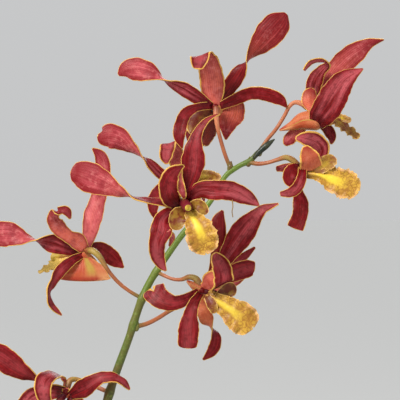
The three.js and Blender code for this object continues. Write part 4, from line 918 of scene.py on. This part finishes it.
def lip_material():
    m = Skin("lip_skin", 0.45, Specular_IOR_Level=0.25, Coat_Weight=0.06, Coat_Roughness=0.3)
    run, rim, tone = m.run, m.rim, m.kind
    wide = m.math("ABSOLUTE", m.across)
    fine = m.noise(m.place, 700, 2)
    blotch = m.noise(m.place, 300, 3, 0.5)
    cloud = m.noise(m.place, 130, 2)
    ochre = m.mix(m.ramp(cloud, 0.35, 0.65), (190, 148, 50), (160, 118, 36))
    m.body = m.mix(m.ramp(run, 0.0, 0.3), (126, 92, 34), ochre)
    # The brown net beside the ridge, from cells whose walls are bent
    warp = m.noise(m.place, 260, 2, 0.5, "Color")
    bent = m.node("VectorMath", {0: warp, 1: (0.005, 0.005, 0.005), 2: m.place},
                  operation="MULTIPLY_ADD")[0]
    walls = m.node("TexVoronoi", {"Vector": bent, "Scale": 500}, feature="DISTANCE_TO_EDGE")
    net = m.ramp(walls["Distance"], 0.16, 0.02, 0, 0.75)
    band = m.times(m.ramp(rim, 0.4, 1.0), m.ramp(rim, 5.5, 2.5))
    zone = m.math("MAXIMUM", m.ramp(wide, 0.3, 0.55), band)
    zone = m.math("MAXIMUM", m.ramp(run, 0.45, 0.62), zone)
    marks = m.math("MAXIMUM", net, m.ramp(blotch, 0.47, 0.66, 0, 0.5))
    marks = m.times(marks, zone, m.ramp(run, 0.05, 0.3, 0.3, 0.85))
    m.lay(marks, m.mix(net, (146, 88, 28), (112, 60, 16)))
    # The yellow ridge and the cream margin
    edge = m.plus(wide, m.times(cloud, 0.3))
    m.lay(m.times(m.ramp(edge, 0.56, 0.26), m.ramp(run, 0.8, 0.5, 0, 0.95)),
          m.mix(m.ramp(run, 0.05, 0.3), (180, 136, 62), (216, 188, 54)))
    m.lay(m.times(m.ramp(rim, 1.5, 0.5), m.ramp(cloud, 0.42, 0.58, 0.2, 0.8),
                  m.ramp(run, 0.3, 0.6)), (216, 166, 118))
    back = m.mix(m.ramp(blotch, 0.45, 0.68), (170, 142, 44), (140, 92, 30))
    m.body = m.mix(m.side, back, m.body)
    # The tones: pale yellow, a side lobe's brown and dark brown
    lobe = m.mix(m.ramp(blotch, 0.36, 0.62), (138, 102, 30), (100, 36, 16))
    m.lay(m.ramp(tone, 0, -1, 0, 0.85), (212, 178, 88))
    m.lay(m.ramp(tone, 0, 1), m.mix(m.ramp(run, 0.0, 0.45, 0.8, 0), lobe, (84, 18, 20)))
    m.lay(m.ramp(tone, 1, 2), m.mix(blotch, (116, 34, 20), (72, 14, 14)))
    m.lay(m.ramp(rim, 0.45, 0.1, 0, 0.8), (212, 170, 90))
    height = m.plus(m.times(marks, -0.6), blotch)
    return m.done(height, 0.4, 0.0003, m.ramp(fine, 0.3, 0.7, 0.4, 0.55))


def column_material():
    m = Skin("column_skin", 0.5, Specular_IOR_Level=0.15)
    blotch = m.noise(m.place, 420, 3)
    m.body = m.mix(m.ramp(m.run, 0.15, 0.8), (70, 8, 20), (102, 22, 34))
    m.lay(m.ramp(blotch, 0.5, 0.7, 0, 0.35), (140, 88, 40))
    m.lay(m.kind, m.mix(m.ramp(blotch, 0.45, 0.7), (196, 180, 70), (150, 116, 36)))
    return m.done(blotch, 0.3, 0.0002)


def pedicel_material():
    m = Skin("pedicel_skin", 0.42, Specular_IOR_Level=0.3)
    blotch = m.noise(m.place, 220, 3)
    m.body = m.mix(m.ramp(m.run, 0.0, 0.2), (92, 92, 38), (152, 84, 52))
    m.lay(m.ramp(m.run, 0.5, 0.8), m.mix(m.kind, (142, 122, 58), (184, 112, 80)))
    m.lay(m.ramp(m.run, 0.88, 1.0, 0, 0.8), (92, 20, 22))
    m.lay(m.ramp(blotch, 0.45, 0.68, 0, 0.5), (130, 50, 36))
    wave = m.math("SINE", m.times(m.across, 3 * math.pi))
    ribs = m.math("POWER", m.math("ABSOLUTE", wave), 3)
    m.lay(m.times(ribs, 0.25), (176, 126, 74))
    return m.done(m.plus(ribs, blotch), 0.3, 0.0002)


def stem_material():
    m = Skin("stem_skin", 0.4, Specular_IOR_Level=0.3)
    blotch = m.noise(m.place, 90, 3)
    fine = m.noise(m.place, 700, 2)
    m.body = m.mix(m.ramp(m.run, 0.4, 0.85), (66, 74, 24), (96, 120, 42))
    m.lay(m.times(m.ramp(m.run, 0.8, 0.45), m.ramp(blotch, 0.4, 0.66, 0, 0.7)), (98, 58, 32))
    m.lay(m.ramp(fine, 0.5, 0.75, 0, 0.35), (124, 140, 62))
    m.lay(m.ramp(m.run, 0.93, 1.0), (62, 60, 34))
    # Kind 1 is a small bract, and kind 2 the dry one at the tip
    m.lay(m.ramp(m.kind, 0.3, 0.7),
          m.mix(m.ramp(blotch, 0.4, 0.65), (100, 102, 46), (102, 58, 36)))
    m.lay(m.ramp(m.kind, 1.3, 1.7), m.mix(m.ramp(fine, 0.4, 0.6), (22, 34, 26), (48, 52, 34)))
    return m.done(fine, 0.3, 0.0003, m.ramp(fine, 0.3, 0.7, 0.34, 0.5))


def leaf_material():
    m = Skin("leaf_skin", 0.36, Subsurface_Weight=0.05, Subsurface_Scale=0.003)
    blotch = m.noise(m.place, 45, 4)
    veins = m.veins(12, 4.0)
    m.body = m.mix(m.side, m.mix(blotch, (104, 132, 66), (124, 148, 78)),
                   m.mix(blotch, (58, 96, 34), (92, 128, 48)))
    m.lay(m.times(veins, 0.3), (130, 156, 76))
    m.lay(m.times(m.ramp(m.math("ABSOLUTE", m.across), 0.07, 0.02), 0.6), (146, 166, 84))
    m.lay(m.times(m.ramp(m.run, 0.93, 1.0), m.seed), (150, 118, 58))
    m.lay(m.ramp(m.rim, 0.5, 0.1, 0, 0.6), (132, 138, 62))
    return m.done(m.plus(veins, blotch), 0.35, 0.0004, m.ramp(blotch, 0.3, 0.7, 0.3, 0.44))


def cane_material():
    m = Skin("cane_skin", 0.45)
    streaks = m.noise(m.vector(m.times(m.across, 3), m.times(m.run, 1.5), m.seed), 9, 4)
    blotch = m.noise(m.place, 60, 4)
    sheath = m.mix(m.ramp(blotch, 0.52, 0.7, 0, 0.6),
                   m.mix(streaks, (196, 182, 148), (142, 122, 88)), (108, 88, 62))
    m.body = m.mix(streaks, (96, 110, 46), (138, 140, 62))
    m.lay(m.ramp(blotch, 0.5, 0.72, 0, 0.6), (104, 74, 42))
    m.lay(m.kind, sheath)
    height = m.plus(streaks, m.times(blotch, 0.5))
    return m.done(height, 0.5, 0.0006, m.ramp(m.kind, 0, 1, 0.4, 0.75))


def root_material():
    m = Skin("root_skin", 0.75)
    blotch = m.noise(m.place, 220, 4)
    m.body = m.mix(blotch, (206, 200, 176), (160, 158, 132))
    m.lay(m.ramp(m.run, 0.85, 0.97), (120, 140, 70))
    return m.done(blotch, 0.5, 0.0004)


def bark_material():
    m = Skin("bark_chips", 0.9)
    grain = m.noise(m.place, 320, 5, 0.7)
    m.body = m.mix(m.ramp(grain, 0.4, 0.65), m.mix(m.seed, (48, 32, 24), (84, 56, 38)),
                   m.mix(m.seed, (78, 50, 34), (138, 92, 58)))
    m.lay(m.times(m.ramp(m.noise(m.place, 90, 3), 0.55, 0.7), 0.5), (170, 138, 100))
    return m.done(grain, 0.8, 0.001)


def moss_material():
    m = Skin("moss_green", 0.95, Specular_IOR_Level=0.2)
    grain = m.noise(m.place, 900, 4, 0.7)
    m.body = m.mix(grain, (46, 70, 22), (118, 138, 52))
    return m.done(grain, 0.9, 0.0012)


def terracotta_material():
    m = Skin("terracotta_clay", 0.85)
    height = m.node("SeparateXYZ", {0: m.place})[2]
    cloud = m.noise(m.place, 14, 5, 0.6)
    grit = m.noise(m.place, 700, 3, 0.7)
    m.body = m.mix(cloud, (176, 92, 58), (202, 122, 82))
    m.lay(m.ramp(grit, 0.55, 0.7, 0, 0.5), (150, 74, 48))
    m.lay(m.times(m.ramp(height, 0.055, 0.0), m.ramp(cloud, 0.35, 0.6), 0.45), (118, 68, 50))
    lime = m.ramp(m.noise(m.place, 26, 6, 0.65), 0.52, 0.68)
    m.lay(m.times(lime, m.ramp(height, 0.01, 0.11), 0.5), (222, 204, 188))
    rings = m.math("SINE", m.times(height, 2 * math.pi / TURNING_MARKS))
    return m.done(m.plus(m.times(rings, 0.25), grit), 0.35, 0.0008,
                  m.ramp(cloud, 0.3, 0.7, 0.78, 0.92))


# Blooms

def repeated(spec):
    """A bloom like another one, turned about its heart and moved to another heart."""
    source = next(bloom for bloom in BLOOMS if bloom["name"] == spec["like"])
    angle = math.radians(spec["turn"])
    from_x, from_y = source["heart"][:2]
    to_x, to_y = spec["heart"]

    def moved(part):
        if isinstance(part, dict):
            return {key: moved(rows) for key, rows in part.items()}
        if isinstance(part[0], list):
            return [moved(row) for row in part]
        right = part[0] - from_x
        below = part[1] - from_y
        x = to_x + right * math.cos(angle) - below * math.sin(angle)
        y = to_y + right * math.sin(angle) + below * math.cos(angle)
        return [x, y, *part[2:]]

    return {**spec, **{key: moved(source[key]) for key in MOVED_PARTS}}


def ovary_ribs(s, angle):
    """Six low ribs on the ovary, the outer half of a pedicel."""
    return 1 + 0.07 * smooth_step(0.45, 0.7, s) * np.cos(6 * angle)


def looks_of(bloom, blade):
    """What a blade has of its own; a repeated bloom has the looks of the one it repeats."""
    return BLADE_LOOKS.get(bloom.get("like", bloom["name"]) + " " + blade, {})


def bloom_tepals(bloom, seed, material):
    name = bloom["name"] + "_tepals"
    piece = Piece(name + "_petals")
    heart = on_sheet([bloom["heart"]])[0]
    add_ball(piece, heart[:3], [HEART_SHARE * heart[3]] * 3, kind=-1.0)
    add_tube(piece, on_sheet(bloom["chin"]), seed, kind=1.0)
    for k, (blade, rows) in enumerate(bloom["tepals"].items()):
        shape = {"rolled": 0.12, "rounding": 0.35, **looks_of(bloom, blade)}
        add_blade(piece, blade_rows(rows), seed + 7 * k, **shape)
    if bloom["name"] == "bloom_2":
        add_blade(piece, blade_rows(DORSAL_FOLD), seed + 99, pink=0.1, tone=0.3, gold=1.6)
    if bloom["name"] == "bloom_4":
        add_tube(piece, on_sheet(THREAD), seed, sides=8, kind=2.0)
    piece.build(material, [name])


def bloom_lip(bloom, seed, material):
    name = bloom["name"] + "_lip"
    piece = Piece(name + "_lobes")
    for k, (lobe, rows) in enumerate(bloom["lip"].items()):
        shape = {"tone": 1.0}
        if lobe == "midLobe":
            shape = {"wave": 0.0012, "waves": 5.5, "keels": KEELS, "rolled": 0.1, "notch": 0.3,
                     "frill": 0.06}
        shape.update(looks_of(bloom, lobe))
        add_blade(piece, blade_rows(rows), seed + 5 * k, LIP_THICKNESS, cup=0.25, **shape)
    piece.build(material, [name])


def bloom_column(bloom, seed, material):
    name = bloom["name"] + "_column"
    piece = Piece(name + "_body")
    rows = on_sheet(bloom["column"])
    add_tube(piece, rows, seed)
    size = rows[-1, 3]
    way = unit(rows[-1, :3] - rows[-2, :3])
    middle = rows[-1, :3] + way * ANTHER_REACH * size
    add_ball(piece, middle, size * np.array(ANTHER_SIZE), kind=1.0)
    piece.build(material, [name])


def bloom_pedicel(bloom, seed, material):
    name = bloom["name"] + "_pedicel"
    piece = Piece(name + "_stalk")
    pink = float(name in PINK_PEDICELS)
    add_tube(piece, on_sheet(bloom["pedicel"]), seed, sides=24, kind=pink, ribs=ovary_ribs)
    piece.build(material, [name])


# Flower stem

def flower_stem(blooms, material):
    piece = Piece("flower_stem_rachis")
    rows = on_sheet(STEM)
    line = along(rows, np.linspace(0, len(rows) - 1, 400))[:, :3]
    run = lengths(line)
    joints = [on_sheet(bloom["pedicel"])[0, :3] for bloom in blooms]
    at = [run[np.argmin(np.linalg.norm(line - joint, axis=1))] for joint in joints]

    def swelling(length):
        return 1 + 0.16 * sum(np.exp(-(((length - a) / JOINT_REACH) ** 2)) for a in at)

    add_tube(piece, rows, 3, sides=24, per_station=14, swelling=swelling)
    tip = on_sheet(TIP_BRACT)
    tip[:, 3] *= TIP_BRACT_SHARE
    add_tube(piece, tip, 4, kind=2.0)
    for k, bloom in enumerate(blooms):
        across, down, depth, _ = bloom["pedicel"][0]
        bract = [
            [across, down + 3, depth, 2.5],
            [across + 0.8, down - 0.5, depth, 2.8],
            [across + 1.6, down - 5, depth, 0.7],
        ]
        add_tube(piece, on_sheet(bract), 20 + k, sides=12, kind=1.0)
    piece.build(material, ["flower_stem"])


# Canes

def cane_rows(cane):
    foot = np.array([*cane["foot"], 1000 * CANE_FOOT]) / 1000
    top = np.array(cane["top"]) / 1000
    rows = []
    for u in np.linspace(0, 1, CANE_STATIONS):
        share = np.array([u ** 1.35, u ** 1.35, u])
        swell = 0.55 + 0.45 * math.sin(math.pi * u ** 0.8)
        rows.append([*(foot + (top - foot) * share), cane["radius"] / 1000 * swell])
    rows[-1][3] *= 0.75
    return np.array(rows)


def root_rows(cane, k):
    x, y = np.array(cane["foot"]) / 1000
    angle = (k - 0.5) * math.pi + math.copysign(0.4, x) * (1 if k == 0 else -1)
    shape = [(0, 0.006, 1), (0.008, 0.0075, 1), (0.015, 0.005, 1), (0.022, -0.003, 0.7)]
    rows = []
    for i, (reach, height, wide) in enumerate(shape):
        swing = angle + 0.25 * math.sin(2.1 * i + k)
        rows.append([x + reach * math.cos(swing), y + reach * math.sin(swing), BARK_TOP + height,
                     ROOT_RADIUS * wide])
    return np.array(rows)


def leaf_rows(base, bearing, length, rise):
    """An arching leaf from its base, as rows of x, y, z, half width and direction across."""
    out = np.array([math.cos(bearing), math.sin(bearing), 0])
    across = [out[1], -out[0], 0]
    shape = [(0, 0, 0.35), (0.22, 1, 0.85), (0.48, 1.55, 1), (0.74, 1.35, 0.9), (0.93, 0.75, 0.5),
             (1, 0.4, 0.12)]
    return np.array([
        [*(base + out * reach * length + [0, 0, lift * rise * length]), width * LEAF_HALF_WIDTH,
         *across]
        for reach, lift, width in shape
    ])


def torn(s, angle):
    """The fibrous, slightly creased shape of a dry sheath, as the radius's share."""
    return 1 + 0.02 * np.sin(9 * angle + 5 * s) + 0.03 * s * np.sin(4 * angle + 2)


def leafy_cane(cane, index, skins):
    draw = random_from(40 + index)
    rows = cane_rows(cane)
    foot = rows[0, 2]
    first = cane["first_leaf"] / 1000
    stalk = Piece(cane["name"] + "_stalk")

    def t_at(height):
        return (height - foot) / (rows[-1, 2] - foot) * (len(rows) - 1)

    def swelling(length):
        ring = np.mod(length, LEAF_SPACING) - LEAF_SPACING / 2
        return 1 + 0.07 * np.exp(-((ring / RING_REACH) ** 2))

    add_tube(stalk, rows, index, sides=28, per_station=24, swelling=swelling)
    for k, at in enumerate(np.arange(foot + 0.004, first - 0.01, LEAF_SPACING)):
        sleeve = along(rows, t_at(at + LEAF_SPACING * np.array([0, 0.45, 0.9])))
        sleeve[:, 3] = sleeve[:, 3] * SHEATH_FIT + SHEATH_RIM
        add_tube(stalk, sleeve, 50 * index + k, sides=28, per_station=6, kind=1.0, ribs=torn)
    stalk.build(skins["cane"], [cane["name"]])
    roots = Piece(cane["name"] + "_roots")
    for k in (0, 1):
        add_tube(roots, root_rows(cane, k), index + k, per_station=10)
    roots.build(skins["root"])
    plane = math.radians(LEAF_PLANE + 4 * (draw() - 0.5))
    count = math.floor((cane["top"][2] - 6 - cane["first_leaf"]) / (LEAF_SPACING * 1000)) + 1
    usual, varies, less = LEAF_LENGTH
    leaves = Piece(cane["name"] + "_leaves")
    for k in range(count):
        base = along(rows[:, :3], np.array([t_at(first + k * LEAF_SPACING)]))[0]
        side = math.pi * ((k + index) % 2)
        length = (usual + varies * draw() - less * (k / count) ** 3) / 1000
        rise = 0.3 + 0.12 * draw()
        add_blade(leaves, leaf_rows(base, plane + side, length, rise), 100 * index + k,
                  LEAF_THICKNESS, cup=0.3, wave=0.0007, waves=2, crease=0.0007)
    leaves.build(skins["leaf"])


# Pot and bark

def inner_radius(height):
    slope = (POT_TOP_RADIUS - POT_FOOT_RADIUS) / POT_HEIGHT
    return POT_FOOT_RADIUS - POT_WALL + slope * height


def rounded_profile(corners, radius, steps=5):
    """A closed outline of (radius, height) corners with each corner rounded."""
    points = []
    for k, corner in enumerate(corners):
        corner = np.array(corner)
        before = np.array(corners[k - 1]) - corner
        after = np.array(corners[(k + 1) % len(corners)]) - corner
        reach = min(radius, 0.45 * np.linalg.norm(before), 0.45 * np.linalg.norm(after))
        start = corner + unit(before) * reach
        end = corner + unit(after) * reach
        for f in np.linspace(0, 1, steps + 1):
            points.append((1 - f) ** 2 * start + 2 * f * (1 - f) * corner + f * f * end)
    return points


def terracotta_pot(material):
    under_rim = POT_HEIGHT - RIM_HEIGHT
    centre = 0.004
    corners = [
        (centre, 0),
        (POT_FOOT_RADIUS, 0),
        (POT_TOP_RADIUS - 0.001, under_rim),
        (RIM_RADIUS - 0.001, under_rim + 0.0012),
        (RIM_RADIUS, POT_HEIGHT),
        (inner_radius(POT_HEIGHT), POT_HEIGHT),
        (inner_radius(POT_FLOOR), POT_FLOOR),
        (centre, POT_FLOOR),
    ]
    piece = Piece("pot_clay")
    piece.add_rings(lathe(rounded_profile(corners, POT_ROUNDING), POT_SIDES))
    pot = piece.build(material, ["pot"])
    holes = Piece("drain_holes")
    rod = lathe([(DRAIN_RADIUS, height) for height in (-0.01, 0.004, 0.02)], 28)
    for way in (np.arange(DRAIN_COUNT) + 0.5) / DRAIN_COUNT * 2 * math.pi:
        holes.add_rings(rod + [DRAIN_RING * math.cos(way), DRAIN_RING * math.sin(way), 0])
    cutter = holes.mesh(material)
    cut = pot.modifiers.new("cut", "BOOLEAN")
    cut.object = cutter
    cut.operation = "DIFFERENCE"
    cut.solver = "EXACT"
    drilled = pot.evaluated_get(bpy.context.evaluated_depsgraph_get())
    mesh = bpy.data.meshes.new_from_object(drilled)
    pot.modifiers.clear()
    pot.data = mesh
    bpy.data.objects.remove(cutter)


def chip(draw, middle):
    """A rough block of bark as rings, turned and tipped at random about its middle."""
    size = np.array(CHIP_SIZE) * draw.uniform(0.5, 1.15, 3)
    spin = draw.uniform(0, math.pi)
    lean = draw.uniform(-0.35, 0.35, 2)
    turn = np.array([[math.cos(spin), -math.sin(spin), 0], [math.sin(spin), math.cos(spin), 0],
                     [0, 0, 1]])
    tip = np.array([[1, 0, lean[0]], [0, 1, lean[1]], [-lean[0], -lean[1], 1]])
    edge = np.array(CHIP_EDGE)[:, None]
    levels = np.linspace(-0.5, 0.5, len(edge))[:, None]
    grid = (len(edge), CHIP_SIDES)
    spread = 1 + draw.uniform(-0.28, 0.22, grid) * 0.6
    spread = edge * spread * (1 + draw.uniform(-0.22, 0.2, CHIP_SIDES))
    angle = circle(CHIP_SIDES)
    square = spread / np.maximum(np.abs(np.cos(angle)), np.abs(np.sin(angle))) ** 0.7
    shape = np.stack([
        0.5 * size[0] * square * np.cos(angle),
        0.5 * size[1] * square * np.sin(angle),
        size[2] * levels + draw.uniform(-0.0006, 0.0006, grid),
    ], -1)
    return shape @ (turn @ tip).T + [*middle, BARK_TOP + draw.uniform(-0.002, 0.003)]


def bark(material):
    """A plug of bark with chips set over its top in a sunflower's spiral."""
    draw = np.random.default_rng(11)
    piece = Piece("potting_medium_chips")
    low = POT_FLOOR + 0.0006
    high = BARK_TOP - 0.003
    outline = [
        (inner_radius(low) - PLUG_GAP, low),
        (inner_radius(high) - PLUG_GAP, high - 0.001),
        (inner_radius(high) - 0.003, high),
    ]
    piece.add_rings(lathe(outline, 48), (0, 0, 0.1))
    limit = inner_radius(BARK_TOP) - 0.001
    golden = math.pi * (3 - math.sqrt(5))
    for k in range(CHIP_COUNT):
        ring = CHIP_RING * math.sqrt((k + 0.5) / CHIP_COUNT)
        rings = chip(draw, (ring * math.cos(k * golden), ring * math.sin(k * golden)))
        reach = np.hypot(rings[..., 0], rings[..., 1])
        rings[..., :2] *= np.minimum(limit / reach, 1)[..., None]
        piece.add_rings(rings, (0, 0, draw.random()))
    piece.build(material, ["potting_medium"]).data.shade_flat()


def moss(material):
    """Low cushions of moss on the bark, by the pot's wall and between the canes."""
    draw = np.random.default_rng(5)
    piece = Piece("moss_cushions")
    for _ in range(MOSS_COUNT):
        way = draw.uniform(0, 2 * math.pi)
        ring = CHIP_RING * draw.uniform(0.55, 1.0)
        wide = draw.uniform(*MOSS_RADII)
        height = BARK_TOP + draw.uniform(0.002, 0.004)
        add_ball(piece, [ring * math.cos(way), ring * math.sin(way), height],
                 [wide, wide * draw.uniform(0.7, 1), 0.45 * wide], sides=24)
    for points in piece.points:
        grain = np.sin(points[:, 0] * 2600) * np.sin(points[:, 1] * 2900 + 1)
        points[:, 2] += 0.0004 * grain * (points[:, 2] > BARK_TOP)
    piece.build(material)


# Stage

def aimed(thing, way):
    thing.rotation_mode = "QUATERNION"
    thing.rotation_quaternion = Vector(way).to_track_quat("-Z", "Y")


def stage():
    """A pale floor that is paler further away, its near part painted darker as shade against the
    lamps' pool of light, the sky and the lamps.
    """
    mesh = bpy.data.meshes.new("floor")
    ways = ((-1, -1), (1, -1), (1, 1), (-1, 1))
    mesh.from_pydata([(x * FLOOR_REACH, y * FLOOR_REACH, 0) for x, y in ways], [], [(0, 1, 2, 3)])
    paint = Skin("floor_paint", 0.9)
    away = paint.node("VectorMath", {0: paint.place}, operation="LENGTH")["Value"]
    # Painted shade: the floor darker near the plant, where the lamps light it most, paler far off
    tone = paint.mix(paint.ramp(away, 0.3, 5.0), *FLOOR_TONES)
    paint.put(paint.shader["Base Color"], tone)
    mesh.materials.append(paint.block)
    floor = linked("floor", mesh)
    sky = Nodes(bpy.data.worlds.new("studio"), "Background", Color=(0.98, 0.99, 1.0, 1))
    rise = sky.node("SeparateXYZ", {0: sky.node("TexCoord")["Generated"]})[2]
    sky.put(sky.shader["Strength"], sky.ramp(rise, -0.05, 1.0, SKY_LOW, SKY_HIGH))
    bpy.context.scene.world = sky.block
    for name, place, size, power, tint in LAMPS:
        light = bpy.data.lights.new(name, "AREA")
        light.shape = "DISK"
        light.size = size
        light.energy = power
        light.color = tint
        lamp = linked(name, light)
        lamp.location = place
        aimed(lamp, np.array(LAMP_AIM) - place)


def camera():
    """Level with the spray, at the distance that the sheet is laid out for."""
    data = bpy.data.cameras.new("camera")
    data.sensor_width = SENSOR
    data.lens = SENSOR * SHEET_DISTANCE / (2 * SHEET_MIDDLE * SHEET_UNIT)
    data.clip_start = 0.05
    data.clip_end = 500
    seen = linked("camera", data)
    right, up = CAMERA_SHIFT
    seen.location = (SPRAY_X + right * SHEET_UNIT, -SHEET_DISTANCE, SPRAY_Z + up * SHEET_UNIT)
    aimed(seen, (0, 1, 0))
    bpy.context.scene.camera = seen


camera()
stage()
bpy.context.scene.view_settings.view_transform = "Standard"
all_blooms = BLOOMS + [repeated(spec) for spec in REPEATED_BLOOMS]
makers = [
    (bloom_tepals, 1, tepal_material()),
    (bloom_lip, 200, lip_material()),
    (bloom_column, 300, column_material()),
    (bloom_pedicel, 400, pedicel_material()),
]
for number, bloom in enumerate(all_blooms):
    for make, seed, skin in makers:
        make(bloom, 1000 * number + seed, skin)
flower_stem(all_blooms, stem_material())
cane_skins = {"cane": cane_material(), "leaf": leaf_material(), "root": root_material()}
for number, cane in enumerate(CANES):
    leafy_cane(cane, number, cane_skins)
terracotta_pot(terracotta_material())
bark(bark_material())
moss(moss_material())
